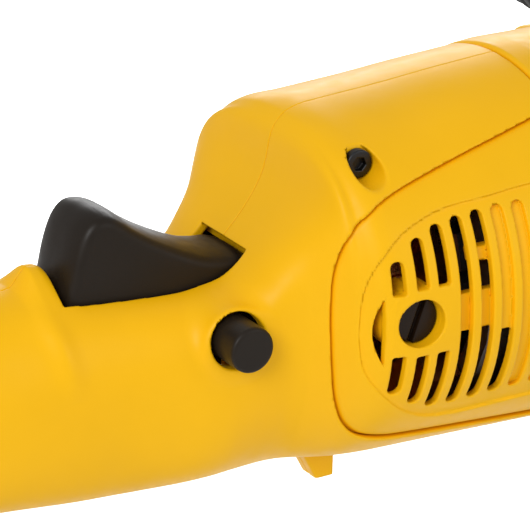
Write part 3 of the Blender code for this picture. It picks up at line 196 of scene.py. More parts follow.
class Plan:
    """Distance to a closed outline in X and Z, sampled on a fine grid."""

    STEP = 0.2

    def __init__(self, outline, margin=6.0):
        pts = np.array(outline, float)
        self.low = pts.min(0) - margin
        n = np.ceil((pts.max(0) + margin - self.low) / self.STEP).astype(int) + 2
        gx = self.low[0] + self.STEP * np.arange(n[0])
        gz = self.low[1] + self.STEP * np.arange(n[1])
        px, pz = np.meshgrid(gx, gz, indexing="ij")
        best = np.full(px.shape, 1e9)
        inside = np.zeros(px.shape, bool)
        for (ax, az), (bx, bz) in zip(pts, np.roll(pts, -1, 0)):
            ex, ez = bx - ax, bz - az
            t = np.clip(((px - ax) * ex + (pz - az) * ez) / (ex * ex + ez * ez), 0, 1)
            best = np.minimum(best, (px - ax - t * ex) ** 2 + (pz - az - t * ez) ** 2)
            if ez:
                crosses = ((az > pz) != (bz > pz)) & (px < ax + ex * (pz - az) / ez)
                inside ^= crosses
        self.d = np.sqrt(best) * np.where(inside, -1, 1)
        self.n = n

    def __call__(self, x, z):
        fx = np.clip((x - self.low[0]) / self.STEP, 0, self.n[0] - 1.001)
        fz = np.clip((z - self.low[1]) / self.STEP, 0, self.n[1] - 1.001)
        i, j = fx.astype(int), fz.astype(int)
        a, b = fx - i, fz - j
        d = self.d
        return ((1 - a) * (1 - b) * d[i, j] + a * (1 - b) * d[i + 1, j]
                + (1 - a) * b * d[i, j + 1] + a * b * d[i + 1, j + 1])


def smooth_outline(points, steps=6):
    """Closed Catmull-Rom loop through the points."""
    p = np.array(points, float)
    n = len(p)
    out = []
    for i in range(n):
        a, b, c, d = p[i - 1], p[i], p[(i + 1) % n], p[(i + 2) % n]
        for k in range(steps):
            t = k / steps
            out.append(0.5 * (2 * b + (c - a) * t + (2 * a - 5 * b + 4 * c - d) * t**2
                              + (3 * b - a - 3 * c + d) * t**3))
    return out


def rounded_box(x, z, x0, x1, z0, z1, r):
    qx = np.abs(x - (x0 + x1) / 2) - (x1 - x0) / 2 + r
    qz = np.abs(z - (z0 + z1) / 2) - (z1 - z0) / 2 + r
    return np.hypot(np.maximum(qx, 0), np.maximum(qz, 0)) + np.minimum(np.maximum(qx, qz), 0) - r


# ---- meshing -------------------------------------------------------------------------------
def steps(*spans):
    """Grid lines from (start, end, step) spans that follow each other."""
    out = []
    for a, b, h in spans:
        n = max(1, round((b - a) / (h * COARSE)))
        out += list(a + (b - a) * np.arange(n) / n)
    return np.array(out + [spans[-1][1]])


def sample(field, gx, gy, gz):
    """The field on the grid, worked out only near its surface."""
    values = np.empty((len(gx), len(gy), len(gz)), np.float32)
    block = 10
    for i in range(0, len(gx), block):
        for j in range(0, len(gy), block):
            xs, ys = gx[i:i + block + 1], gy[j:j + block + 1]
            cx, cy = (xs[0] + xs[-1]) / 2, (ys[0] + ys[-1]) / 2
            k = np.arange(0, len(gz), block)
            z0, z1 = gz[k], gz[np.minimum(k + block, len(gz) - 1)]
            cz = (z0 + z1) / 2
            reach = np.sqrt((xs[-1] - xs[0]) ** 2 + (ys[-1] - ys[0]) ** 2 + (z1 - z0) ** 2) / 2
            d = field(np.full(len(cz), cx), np.full(len(cz), cy), cz)
            for k0, near, dist in zip(k, np.abs(d) < reach * 1.6 + 2.5, d):
                part = (slice(i, i + block), slice(j, j + block), slice(k0, k0 + block))
                if near:
                    px, py, pz = np.meshgrid(gx[part[0]], gy[part[1]], gz[part[2]], indexing="ij")
                    values[part] = field(px, py, pz)
                else:
                    values[part] = dist
    return values


def surface_nets(field, gx, gy, gz):
    """Points, quads and normals of the field's zero surface."""
    v = sample(field, gx, gy, gz)
    inside = v < 0
    cell = np.zeros(tuple(n - 1 for n in v.shape), np.uint8)
    for a in (0, 1):
        for b in (0, 1):
            for c in (0, 1):
                cell += inside[a:a + cell.shape[0], b:b + cell.shape[1], c:c + cell.shape[2]]
    live = np.argwhere((cell > 0) & (cell < 8))
    index = np.full(cell.shape, -1, np.int32)
    index[tuple(live.T)] = np.arange(len(live))
    grid = (gx, gy, gz)
    total, count = np.zeros((len(live), 3)), np.zeros(len(live))
    corner = {}
    for a in (0, 1):
        for b in (0, 1):
            for c in (0, 1):
                corner[a, b, c] = v[live[:, 0] + a, live[:, 1] + b, live[:, 2] + c].astype(float)
    for axis in range(3):
        for p in (0, 1):
            for q in (0, 1):
                low, high = [p, q], [p, q]
                low.insert(axis, 0)
                high.insert(axis, 1)
                va, vb = corner[tuple(low)], corner[tuple(high)]
                hit = (va < 0) != (vb < 0)
                t = np.where(hit, va / np.where(hit, va - vb, 1), 0)
                for dim in range(3):
                    a = grid[dim][live[:, dim] + low[dim]]
                    b = grid[dim][live[:, dim] + high[dim]]
                    total[:, dim] += np.where(hit, a + (b - a) * t, 0)
                count += hit
    points = total / count[:, None]
    faces = []
    for axis in range(3):
        u, w = (axis + 1) % 3, (axis + 2) % 3
        low = [slice(None)] * 3
        high = [slice(None)] * 3
        low[axis], high[axis] = slice(0, -1), slice(1, None)
        a, b = inside[tuple(low)], inside[tuple(high)]
        edges = np.argwhere(a != b)
        ok = (edges[:, u] > 0) & (edges[:, w] > 0)
        ok &= (edges[:, u] < cell.shape[u]) & (edges[:, w] < cell.shape[w])
        edges = edges[ok]
        quad = []
        for du, dw in ((-1, -1), (0, -1), (0, 0), (-1, 0)):
            at = edges.copy()
            at[:, u] += du
            at[:, w] += dw
            quad.append(index[tuple(at.T)])
        quad = np.stack(quad, 1)
        flip = ~a[tuple(edges.T)]
        quad[flip] = quad[flip][:, ::-1]
        faces.append(quad)
    faces = np.concatenate(faces)
    span = [np.diff(g)[live[:, d]] for d, g in enumerate(grid)]
    limit = 0.7 * np.sqrt(sum(s**2 for s in span) / 3)
    start = points.copy()
    for _ in range(3):
        value, slope = gradient(field, points)
        length2 = np.maximum((slope**2).sum(1), 0.05)
        points = points - slope * (value / length2)[:, None]
        shift = points - start
        size = np.maximum(np.linalg.norm(shift, axis=1), 1e-9)
        points = start + shift * np.minimum(1, limit / size)[:, None]
    _, slope = gradient(field, points)
    normals = slope / np.maximum(np.linalg.norm(slope, axis=1), 1e-9)[:, None]
    return points, faces, normals


def gradient(field, points, h=0.06):
    x, y, z = points.T
    value = field(x, y, z)
    slope = np.stack([
        field(x + h, y, z) - field(x - h, y, z),
        field(x, y + h, z) - field(x, y - h, z),
        field(x, y, z + h) - field(x, y, z - h),
    ], 1) / (2 * h)
    return value, slope


def solid(name, field, grid, finish, origin=HEAD):
    """A smooth piece from a field in millimetres."""
    points, faces, normals = surface_nets(field, *grid)
    mesh = bpy.data.meshes.new(name)
    mesh.from_pydata(((points + origin) * MM).tolist(), [], faces.tolist())
    mesh.shade_smooth()
    mesh.normals_split_custom_set_from_vertices(normals.tolist())
    mesh.materials.append(finish)
    thing = bpy.data.objects.new(name, mesh)
    bpy.context.scene.collection.objects.link(thing)
    return thing


# ---- materials -----------------------------------------------------------------------------
def finish(name, colour, roughness, metallic=0.0, grain=0.0, grain_mm=0.3, wave=0.0, vary=0.03,
           coat=0.0, stretch=(1, 1, 1), rough_vary=0.05, specular=0.5):
    """Principled material whose colour, roughness and relief come from noise in object space."""
    made = bpy.data.materials.new(name)
    made.use_nodes = True
    tree = made.node_tree
    shader = tree.nodes["Principled BSDF"]
    shader.inputs["Metallic"].default_value = metallic
    shader.inputs["Coat Weight"].default_value = coat
    shader.inputs["Coat Roughness"].default_value = 0.25
    shader.inputs["Specular IOR Level"].default_value = specular
    place = tree.nodes.new("ShaderNodeTexCoord")
    scaled = tree.nodes.new("ShaderNodeMapping")
    scaled.inputs["Scale"].default_value = stretch
    tree.links.new(place.outputs["Object"], scaled.inputs["Vector"])

    def noise(size_mm, detail):
        made_noise = tree.nodes.new("ShaderNodeTexNoise")
        made_noise.inputs["Scale"].default_value = 1000.0 / size_mm
        made_noise.inputs["Detail"].default_value = detail
        tree.links.new(scaled.outputs["Vector"], made_noise.inputs["Vector"])
        return made_noise.outputs["Fac"]

    def ramp(source, low, high):
        made_ramp = tree.nodes.new("ShaderNodeValToRGB")
        made_ramp.color_ramp.elements[0].position = 0.3
        made_ramp.color_ramp.elements[1].position = 0.7
        made_ramp.color_ramp.elements[0].color = (*low, 1)
        made_ramp.color_ramp.elements[1].color = (*high, 1)
        tree.links.new(source, made_ramp.inputs["Fac"])
        return made_ramp.outputs["Color"]

    broad = noise(35.0, 3)
    low = tuple(c * (1 - vary) for c in colour)
    high = tuple(min(1.0, c * (1 + vary)) for c in colour)
    tree.links.new(ramp(broad, low, high), shader.inputs["Base Color"])
    fine = noise(4.0, 5)
    r0, r1 = max(0.0, roughness - rough_vary), min(1.0, roughness + rough_vary)
    tree.links.new(ramp(fine, (r0,) * 3, (r1,) * 3), shader.inputs["Roughness"])
    normal = None
    for height, size in ((wave, 18.0), (grain, grain_mm)):
        if not height:
            continue
        bump = tree.nodes.new("ShaderNodeBump")
        bump.inputs["Strength"].default_value = 1.0
        bump.inputs["Distance"].default_value = height * MM
        tree.links.new(noise(size, 2), bump.inputs["Height"])
        if normal:
            tree.links.new(normal, bump.inputs["Normal"])
        normal = bump.outputs["Normal"]
    if normal:
        tree.links.new(normal, shader.inputs["Normal"])
    return made


MATERIALS = {
    "yellow_plastic": finish("yellow_abs", (0.96, 0.51, 0.002), 0.42, grain=0.012, grain_mm=0.5,
                             wave=0.04, specular=0.2),
    "black_plastic": finish("black_nylon", (0.017, 0.012, 0.008), 0.42, grain=0.012, grain_mm=0.5,
                            vary=0.12, specular=0.2),
    "brown_plastic": finish("brown_phenolic", (0.014, 0.007, 0.003), 0.36, grain=0.01, vary=0.2,
                            specular=0.2),
    "red_plastic": finish("red_acetal", (0.5, 0.03, 0.02), 0.35, grain=0.01),
    "black_rubber": finish("black_rubber_soft", (0.018, 0.018, 0.018), 0.72, grain=0.03, grain_mm=0.7,
                           vary=0.15),
    "steel": finish("ground_steel", (0.56, 0.56, 0.57), 0.28, 1.0, grain=0.004, grain_mm=0.4),
    "dark_steel": finish("black_oxide_steel", (0.05, 0.05, 0.052), 0.4, 1.0, grain=0.006, vary=0.15),
    "steel_plate": finish("grey_powder_coat", (0.075, 0.08, 0.088), 0.5, grain=0.03, grain_mm=0.6),
    "laminations": finish("stacked_steel", (0.2, 0.2, 0.21), 0.5, 1.0, grain=0.05, grain_mm=0.7,
                          stretch=(1, 0.05, 0.05)),
    "copper": finish("varnished_copper", (0.6, 0.22, 0.08), 0.32, 1.0, grain=0.05, grain_mm=0.6),
    "carbon": finish("pressed_carbon", (0.03, 0.03, 0.032), 0.6, grain=0.01),
    "aluminium": finish("extruded_aluminium", (0.5, 0.51, 0.52), 0.42, 1.0, grain=0.006, grain_mm=0.5,
                        stretch=(1, 0.03, 0.6), rough_vary=0.08),
    "cast_aluminium": finish("blasted_aluminium", (0.5, 0.51, 0.52), 0.52, 1.0, grain=0.05, grain_mm=0.8,
                             wave=0.06),
}
slot_of = {part["node"]: part["material_slot"] for part in frame["record"]["subparts"]}
for name, node in frame["nodes"].items():
    node.data.materials.clear()
    node.data.materials.append(MATERIALS[slot_of[name]])


# ---- yellow housing ------------------------------------------------------------------------
tongue = Plan(smooth_outline(
    [(80, 46.0)] + list(TONGUE_TOP[::-1]) + list(TONGUE_BOTTOM[1:]) + [(80, -46.0)], 8))
oval = Plan(smooth_outline([(80, 28.7)] + list(OVAL) + [(80, -30.0)], 4))
opening = Plan([(-84.3, 60), (-84.3, -12.5), (-24, -12.5), (-24, 12.4), (-29.0, 14.0), (-34.5, 14.8),
                (-36, 60)])
lug = Plan([(-12.5, -45.0), (-4.6, -60.4), (0.8, -60.4), (1.4, -45.0)])


def shell_field(side):
    seats = [screw_seat(sx, sz) for sx, sz in SHELL_SCREWS]

    def field(x, y, z):
        s = y * side
        skin = body_form(x, y, z)
        end = HANDLE_END_X - x
        outer = smax(skin, end, 9.0)
        if side < 0:
            swell = smax(rod_y(x, z, BUTTON_X, BUTTON_Z, 8.6), s - 27.2, 2.0)
            outer = smin(outer, swell, 4.5)
        outer = smax(outer, x - SEAM_X, 0.7)
        outer = smin(outer, smax(lug(x, z), np.abs(y) - 4.0, 1.0), 1.5)
        wall = smax(outer, -np.maximum(skin + WALL, HANDLE_END_X + WALL + 0.5 - x), 0.3)
        bosses = np.minimum.reduce([rod_y(x, z, sx, sz, 6.2) for sx, sz in SHELL_SCREWS])
        wall = smin(wall, np.maximum(np.maximum(bosses, skin + 1.6), end), 0.8)
        wall = smax(wall, -np.maximum(opening(x, z), s - SLOT_HALF_W), 0.9)
        wall = smax(wall, -np.maximum(tongue(x, z) - 0.55, panel_from(x) - s), 1.4)
        pocket = np.maximum(np.abs(x + 26.0) - 1.0, np.maximum(np.abs(y) - 16.0, np.abs(z - 15.0) - 5.5))
        wall = smin(wall, np.maximum(pocket, skin + 1.0), 0.5)
        mid = along("mid", x)[0]
        wall = smax(wall, -np.maximum(np.hypot(y, z - mid) - 8.7, x + 200), 0.5)
        if side < 0:
            button = np.maximum(rod_y(x, z, BUTTON_X, BUTTON_Z, BUTTON_HOLE_R), 10.5 - s)
            wall = smax(wall, -button, 0.8)
            for (sx, sz), seat in zip(SHELL_SCREWS, seats):
                wall = smax(wall, -np.maximum(rod_y(x, z, sx, sz, SCREW_HOLE_R), seat - s), 0.9)
        return smax(wall, SPLIT - s, 0.3)
    return field


def panel_from(x):
    """Least distance of the side panel from the middle plane."""
    return np.interp(x, (-16.0, 25.0), (30.0, 20.0))


def screw_seat(x, z):
    """Depth of the screw's seat below the skin, measured from the middle plane."""
    ys = np.linspace(0, 60, 1201)
    d = body_form(np.full_like(ys, x), ys, np.full_like(ys, z))
    return ys[np.argmax(d > 0)] - 7.4


def slot(x, z, cx, low, high, low_r=1.75, high_r=1.75):
    """Upright slot: each end has its own corner radius."""
    half = VENT_W / 2
    middle = (low + high) / 2
    upper = rounded_box(x, z, cx - half, cx + half, low - 9, high, high_r)
    lower = rounded_box(x, z, cx - half, cx + half, low, high + 9, low_r)
    return np.where(z > middle, upper, lower)


def vent_field(x, z):
    """Distance in plan to the open vents, and to the blind recesses, of the oval."""
    opened = [
        slot(x, z, -5.9, 8.2, 17.0, 0.6), slot(x, z, -5.9, -19.8, -8.6, 1.75, 0.6),
        slot(x, z, 0.6, 9.0, 21.8, 0.6), slot(x, z, 0.5, -24.0, -9.2, 1.75, 0.6),
        slot(x, z, 6.9, 9.0, 24.0, 0.6), slot(x, z, 6.7, -26.6, -9.2, 1.75, 0.6),
        slot(x, z, 13.2, -27.0, 24.9), slot(x, z, 19.5, -26.8, 25.3),
        slot(x, z, 25.8, -26.2, -7.0, 1.75, 0.6),
    ]
    crescent = np.maximum(np.hypot(x - 6.0, z + 1.5) - 18.1, x + 9.6)
    opened.append(smax(crescent, np.abs(z + 1.6) - 11.4, 1.2))
    blind = [slot(x, z, VENT_FIRST_BLIND + VENT_PITCH * i, -26.2, 25.6) for i in range(4)]
    return np.minimum.reduce(opened), np.minimum.reduce(blind)


def housing_field(x, y, z):
    s = np.abs(y)
    form = body_form(x, y, z) + TONGUE_RECESS
    skin = smax(form, -smax(-(form + 1.0), oval(x, z), 0.9), 0.8)
    wall = smax(skin, -(form + WALL), 0.3)
    panel = tongue(x, z)
    wall = smax(wall, panel, 0.9)
    ledge = np.maximum(np.maximum(panel - 0.45, form + 0.9), -(form + WALL))
    wall = smin(wall, ledge, 0.3)
    wall = np.maximum(wall, panel_from(x) - 2 - s)
    wall = smax(wall, x - 58.0, 0.4)
    radius = np.hypot(y, z - RING_Z)
    edge = np.interp(x, [p[0] for p in RING_EDGE], [p[1] for p in RING_EDGE])
    band = smax(radius - edge, -(radius - edge + WALL + 0.6), 0.3)
    band = smax(smax(band, 53.4 - x, 0.9), x - HOUSING_FRONT_X, 0.5)
    whole = smin(wall, band, 0.8)
    boss = np.maximum(np.hypot(x, z) - 9.6, np.abs(s - 41.0) - 5.0)
    boss = np.maximum(boss, form + 1.0)
    whole = smin(whole, boss, 0.6)
    vents, blind = vent_field(x, z)
    cut = np.maximum(vents, 30 - s)
    whole = smax(whole, -cut, 0.6)
    whole = smax(whole, -np.maximum(blind, -(form + 2.4)), 0.6)
    bars = np.minimum(np.maximum(np.abs(x - 16.5) - 8.2, np.abs(z + 0.3) - 5.2),
                      np.maximum(np.abs(x - 20.5) - 4.2, np.abs(z - 14.2) - 1.8))
    whole = smin(whole, smax(np.maximum(bars, form + 3.4), -(form + 6.0), 0.4), 0.3)
    whole = smax(whole, -np.maximum(np.hypot(x, z) - BRUSH_HOLE_R, 37.4 - s), 0.5)
    corner = 50.5 / math.sqrt(2)
    for sy in (-1, 1):
        for sz in (-1, 1):
            post = np.hypot(y - sy * corner, z - sz * corner - RING_Z) - 6.5
            post = smax(smax(post, 86 - x, 3.0), x - HOUSING_FRONT_X, 0.5)
            whole = smin(whole, post, 1.5)
    return whole


def near_split():
    """Grid lines next to the middle plane, where the two shells meet."""
    return [0.0, 0.06, 0.13, 0.24, 0.4, 0.65, 1.0, 1.5]


def shell_grid(side):
    gx = steps((-219, -104, 1.5), (-104, -20, 0.62), (-20, 50, 0.75), (50, 54.5, 0.4))
    gy = np.concatenate([near_split(), steps((2.1, 54, 0.68))])
    gy = gy if side > 0 else -gy[::-1]
    gz = steps((-63, 53, 0.64))
    return gx, gy, gz


for side, label in ((-1, "right"), (1, "left")):
    piece = solid(f"shell_{label}_moulding", shell_field(side), shell_grid(side),
                  MATERIALS["yellow_plastic"])
    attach(piece, "frame")
    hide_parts(f"handle_shell_{label}")

housing_grid = (
    steps((-28, 50, 0.52), (50, 56, 0.4), (56, 104.5, 1.1)),
    steps((-60, -12, 0.6), (-12, 12, 1.2), (12, 60, 0.6)),
    steps((-56, 56, 0.6)),
)
housing = solid("housing_moulding", housing_field, housing_grid, MATERIALS["yellow_plastic"])
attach(housing, "frame")
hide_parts("motor_housing")


def trigger_field(x, y, z):
    """Crowned lever with rounded edges, on its trunnion."""
    side = np.abs(y) / TRIGGER_HALF_W
    lever = smax(trigger_plan(x, z) + 1.7 * side**3, np.abs(y) - TRIGGER_HALF_W, 2.2)
    pin = np.maximum(rod_y(x, z, -31.0, 2.0, 2.0), np.abs(y) - 17.5)
    return smin(lever, pin, 0.5)


def button_field(x, y, z):
    """Push button with a soft edge and a collar behind the shell."""
    pin = smax(rod_y(x, z, BUTTON_X, BUTTON_Z, BUTTON_R), BUTTON_FACE_Y - y, 1.3)
    pin = np.maximum(pin, y - BUTTON_FLANGE_Y - 2.0)
    return smax(pin, -np.maximum(rod_y(x, z, BUTTON_X, BUTTON_Z, 4.9), BUTTON_FACE_Y + 4 - y), 0.3)


def cap_field(side):
    turn = math.radians(21)

    def field(x, y, z):
        s = y * side
        cap = smax(rod_y(x, z, 0, 0, 6.25), np.abs(s - 42.1) - 2.5, 0.6)
        across = x * math.cos(turn) - z * math.sin(turn)
        return smax(cap, -np.maximum(np.abs(across) - 0.95, 42.9 - s), 0.3)
    return field


def screw_field(place):
    """Round screw head with a hexagon socket, and its shank."""
    sx, sz = place
    seat = screw_seat(sx, sz) + 0.3

    def field(x, y, z):
        dx, dz = x - sx, z - sz
        head = smax(np.hypot(dx, dz) - 3.75, np.abs(-y - seat - 1.3) - 1.3, 0.5)
        hexagon = np.maximum.reduce([
            np.abs(dx * math.cos(a) + dz * math.sin(a)) for a in np.radians((20, 80, 140))]) - 1.7
        head = smax(head, -np.maximum(hexagon, seat + 0.9 + y), 0.2)
        shank = np.maximum(np.hypot(dx, dz) - 1.6, np.abs(-y - seat / 2 + 4) - seat / 2 - 4)
        return np.minimum(head, shank)
    return field


TRIGGER_HALF_W = 10.5
trigger_plan = Plan(smooth_outline([
    (-83.2, 9.0), (-82.0, 15.2), (-80.4, 21.6), (-78.2, 27.0), (-75.6, 30.2), (-72.6, 31.5),
    (-68.8, 31.0), (-65.2, 28.8), (-61.4, 25.8), (-55.3, 21.8), (-47.5, 17.6), (-41.5, 14.9),
    (-36.5, 13.7), (-31.5, 13.0), (-28.0, 10.4), (-26.7, 5.0), (-28.2, -2.6), (-36.0, -4.0),
    (-52.0, -4.2), (-66.0, -4.4), (-80.0, -3.6), (-83.0, 0.5),
], 5))


def add(name, field, grid, slot, body, *nodes):
    piece = solid(name, field, grid, MATERIALS[slot])
    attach(piece, body)
    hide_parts(*nodes)
    return piece


add("trigger_moulding", trigger_field,
    (steps((-86, -23, 0.5)), steps((-19, 19, 0.5)), steps((-7, 34, 0.5))),
    "black_plastic", "trigger", "trigger")
add("button_moulding", button_field,
    (steps((-51, -35.5, 0.35)), steps((-37, -15, 0.35)), steps((-10, 5.5, 0.35))),
    "black_plastic", "lock_button", "lock_button")
for side, label in ((-1, "right"), (1, "left")):
    gy = steps((38, 46, 0.3)) * side
    add(f"brush_cap_{label}_moulding", cap_field(side),
        (steps((-7.5, 7.5, 0.3)), np.sort(gy), steps((-7.5, 7.5, 0.3))),
        "brown_plastic", "frame", f"brush_cap_{label}")
for (sx, sz), label in zip(SHELL_SCREWS, ("front", "middle", "rear")):
    reach = screw_seat(sx, sz) + 4.5
    add(f"handle_screw_{label}_forged", screw_field((sx, sz)),
        (steps((sx - 5, sx + 5, 0.3)), steps((-reach, -reach + 6.5, 0.3), (-reach + 6.5, 10, 0.6)),
         steps((sz - 5, sz + 5, 0.3))),
        "dark_steel", "frame", f"handle_screw_{label}")


# ---- cast, turned and bent parts -----------------------------------------------------------
GAP = 0.3
ISOLATOR_Z, FOOT_Z, COUPLING_Z, COLUMN_Z = 90.9, 117.2, 93.2, 137.2
EXCITER_Z, AXIS_Z, BOX_Z, BOX_T = 32.3, 860.0, 800.0, 8.0
CASE_Z = BOX_Z + BOX_T + GAP
GRIP_X, GRIP_Z = 4.0, AXIS_Z + 21.0
ISOLATOR_R, ISOLATOR_H, ISOLATOR_AT, PLATE_T = 11.0, 26.0, 42.0, 6.0
SOCKET_R = 31.0
STAND_X, STAND_Z, STAND_R = -66.0, FOOT_Z + 10.0, 4.0
CORNERS = ((1, 1), (1, -1), (-1, 1), (-1, -1))
ROW = np.zeros(3)


def eased(profile, radius, closed):
    """Profile points (r, s, normal r, normal s), with each corner swapped for a short arc."""
    points = [np.array(p, float) for p in profile]
    if closed:
        area = sum(a[0] * b[1] - b[0] * a[1] for a, b in zip(points, points[1:] + points[:1]))
        if area < 0:
            points = points[::-1]
        corners = [(points[i - 1], points[i], points[(i + 1) % len(points)]) for i in range(len(points))]
    else:
        points = [np.array((0.2, points[0][1]))] + points + [np.array((0.2, points[-1][1]))]
        corners = list(zip(points, points[1:], points[2:]))
    out = []
    for a, p, b in corners:
        da, db = (a - p) / np.linalg.norm(a - p), (b - p) / np.linalg.norm(b - p)
        cut = min(radius, 0.45 * np.linalg.norm(a - p), 0.45 * np.linalg.norm(b - p))
        for t in (0, 0.25, 0.5, 0.75, 1):
            q = (1 - t) ** 2 * (p + da * cut) + 2 * t * (1 - t) * p + t**2 * (p + db * cut)
            along = (1 - t) * -da + t * db
            along = along / max(np.linalg.norm(along), 1e-6)
            out.append((q[0], q[1], along[1], -along[0]))
    if not closed:
        out = [(0.2, out[0][1], 0, -1)] + out + [(0.2, out[-1][1], 0, 1)]
    return np.array(out)


def turned(name, base, axis, profile, slot, body, nodes, ease=0.8, closed=False, turns=96):
    """Piece of revolution; base in row millimetres, profile as (radius, distance along the axis)."""
    rows = eased(profile, ease, closed)
    n = Vector(axis).normalized()
    u = n.orthogonal().normalized()
    frame_axes = np.array([u, n.cross(u), n])
    angle = 2 * np.pi * np.arange(turns) / turns
    c, w = np.cos(angle), np.sin(angle)
    points, normals = [], []
    for r, d, nr, nd in rows:
        points.append(np.stack([r * c, r * w, np.full(turns, d)], 1))
        normals.append(np.stack([nr * c, nr * w, np.full(turns, nd)], 1))
    points = np.concatenate(points) @ frame_axes + np.array(base, float)
    normals = np.concatenate(normals) @ frame_axes
    count = len(rows)
    faces = []
    for i in range(count if closed else count - 1):
        low, high = i * turns, (i + 1) % count * turns
        for j in range(turns):
            k = (j + 1) % turns
            faces.append((low + j, low + k, high + k, high + j))
    if not closed:
        faces.append(tuple(range(turns))[::-1])
        faces.append(tuple((count - 1) * turns + j for j in range(turns)))
    return placed(name, points, normals, faces, slot, body, nodes)


def placed(name, points, normals, faces, slot, body, nodes):
    """Mesh in row millimetres, riding on a body in place of the named parts."""
    mesh = bpy.data.meshes.new(name)
    mesh.from_pydata((points * MM).tolist(), [], faces)
    mesh.shade_smooth()
    mesh.normals_split_custom_set_from_vertices(normals.tolist())
    mesh.materials.append(MATERIALS[slot])
    piece = bpy.data.objects.new(name, mesh)
    bpy.context.scene.collection.objects.link(piece)
    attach(piece, body)
    if nodes:
        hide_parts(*nodes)
    return piece


def bent_wire(name, route, radius, bend, slot, body, nodes, turns=28):
    """Round wire along a route of points, its corners bent to a radius."""
    points = [np.array(p, float) for p in route]
    line = [points[0]]
    for a, p, b in zip(points, points[1:], points[2:]):
        da, db = (a - p) / np.linalg.norm(a - p), (b - p) / np.linalg.norm(b - p)
        cut = min(bend, 0.45 * np.linalg.norm(a - p), 0.45 * np.linalg.norm(b - p))
        for t in np.linspace(0, 1, 7):
            line.append((1 - t) ** 2 * (p + da * cut) + 2 * t * (1 - t) * p + t**2 * (p + db * cut))
    line.append(points[-1])
    line = np.array(line)
    along = np.gradient(line, axis=0)
    along /= np.linalg.norm(along, axis=1)[:, None]
    u = np.array(Vector(along[0]).orthogonal().normalized())
    rings, normals = [], []
    angle = 2 * np.pi * np.arange(turns) / turns
    for centre, t in zip(line, along):
        u = u - t * (u @ t)
        u /= np.linalg.norm(u)
        v = np.cross(t, u)
        out = np.cos(angle)[:, None] * u + np.sin(angle)[:, None] * v
        rings.append(centre + out * radius)
        normals.append(out)
    faces = []
    for i in range(len(line) - 1):
        for j in range(turns):
            k = (j + 1) % turns
            faces.append((i * turns + j, i * turns + k, (i + 1) * turns + k, (i + 1) * turns + j))
    faces.append(tuple(range(turns))[::-1])
    faces.append(tuple((len(line) - 1) * turns + j for j in range(turns)))
    return placed(name, np.concatenate(rings), np.concatenate(normals), faces, slot, body, nodes)


def cast(name, field, grid, slot, nodes):
    """Cast piece from a field in row millimetres."""
    piece = solid(name, field, grid, MATERIALS[slot], ROW)
    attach(piece, "frame")
    if nodes:
        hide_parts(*nodes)
    return piece


def turned_form(r, d, profile):
    """Distance to a body of revolution whose outline is given as (distance, radius)."""
    knots = np.array(profile, float)
    form = (r - np.interp(d, knots[:, 0], knots[:, 1])) * 0.9
    start, end = knots[0, 0], knots[-1, 0]
    return smax(form, np.abs(d - (start + end) / 2) - (end - start) / 2, 1.0)


def gear_case_field(x, y, z):
    """Barrel along the motor axis and an upright bell, run together with a cast fillet."""
    hx, hz = x + 165.0, z - AXIS_Z
    start = HOUSING_FRONT_X + GAP
    barrel_outline = ((start, 53), (109, 53), (112, 50.5), (128, 49.5), (150, 47), (165, 44))
    barrel = turned_form(np.hypot(y, hz - RING_Z), hx, barrel_outline)
    bell_outline = (
        (CASE_Z, 50), (CASE_Z + 9, 50), (CASE_Z + 13, 47), (AXIS_Z, 44), (AXIS_Z + 28, 44),
        (AXIS_Z + 37, 40), (AXIS_Z + 42.5, 31), (AXIS_Z + 45, 16),
    )
    bell = turned_form(np.hypot(x, y), z, bell_outline)
    form = smin(barrel, bell, 7.0)
    boss = smax(np.hypot(x - GRIP_X, z - GRIP_Z) - 13, np.abs(y) - 58, 1.2)
    form = smin(form, np.maximum(boss, 40 - np.abs(y)), 3.0)
    for sx, sy in CORNERS:
        a, b = sx * 44 / math.sqrt(2), sy * 44 / math.sqrt(2)
        lug_form = np.maximum(np.hypot(x - a, y - b) - 8.5, np.abs(z - CASE_Z - 7) - 7)
        form = smin(form, lug_form, 1.6)
        reach = 50.5 / math.sqrt(2)
        ear = np.hypot(y - sx * reach, hz - sy * reach - RING_Z) - 6.5
        ear = np.maximum(ear, np.abs(hx - start - 6) - 6)
        form = smin(form, ear, 1.4)
    form = np.maximum(np.maximum(form, start - hx), CASE_Z - z)
    bore_r = np.where(hx < 105, 47.0, np.where(hx < 112, 16.3, 12.0))
    bore = np.maximum(np.hypot(y, hz) - bore_r, hx - 135)
    depth = np.interp(z, (CASE_Z - 1, AXIS_Z + 14, AXIS_Z + 27, AXIS_Z + 32), (38, 38, 28, 10))
    pocket = np.maximum(np.hypot(x, y) - depth, z - AXIS_Z - 32)
    form = smax(form, -np.minimum(bore, pocket), 0.4)
    stud = np.maximum(np.hypot(x - GRIP_X, z - GRIP_Z) - 6.3, 46 - np.abs(y))
    return smax(form, -stud, 0.5)


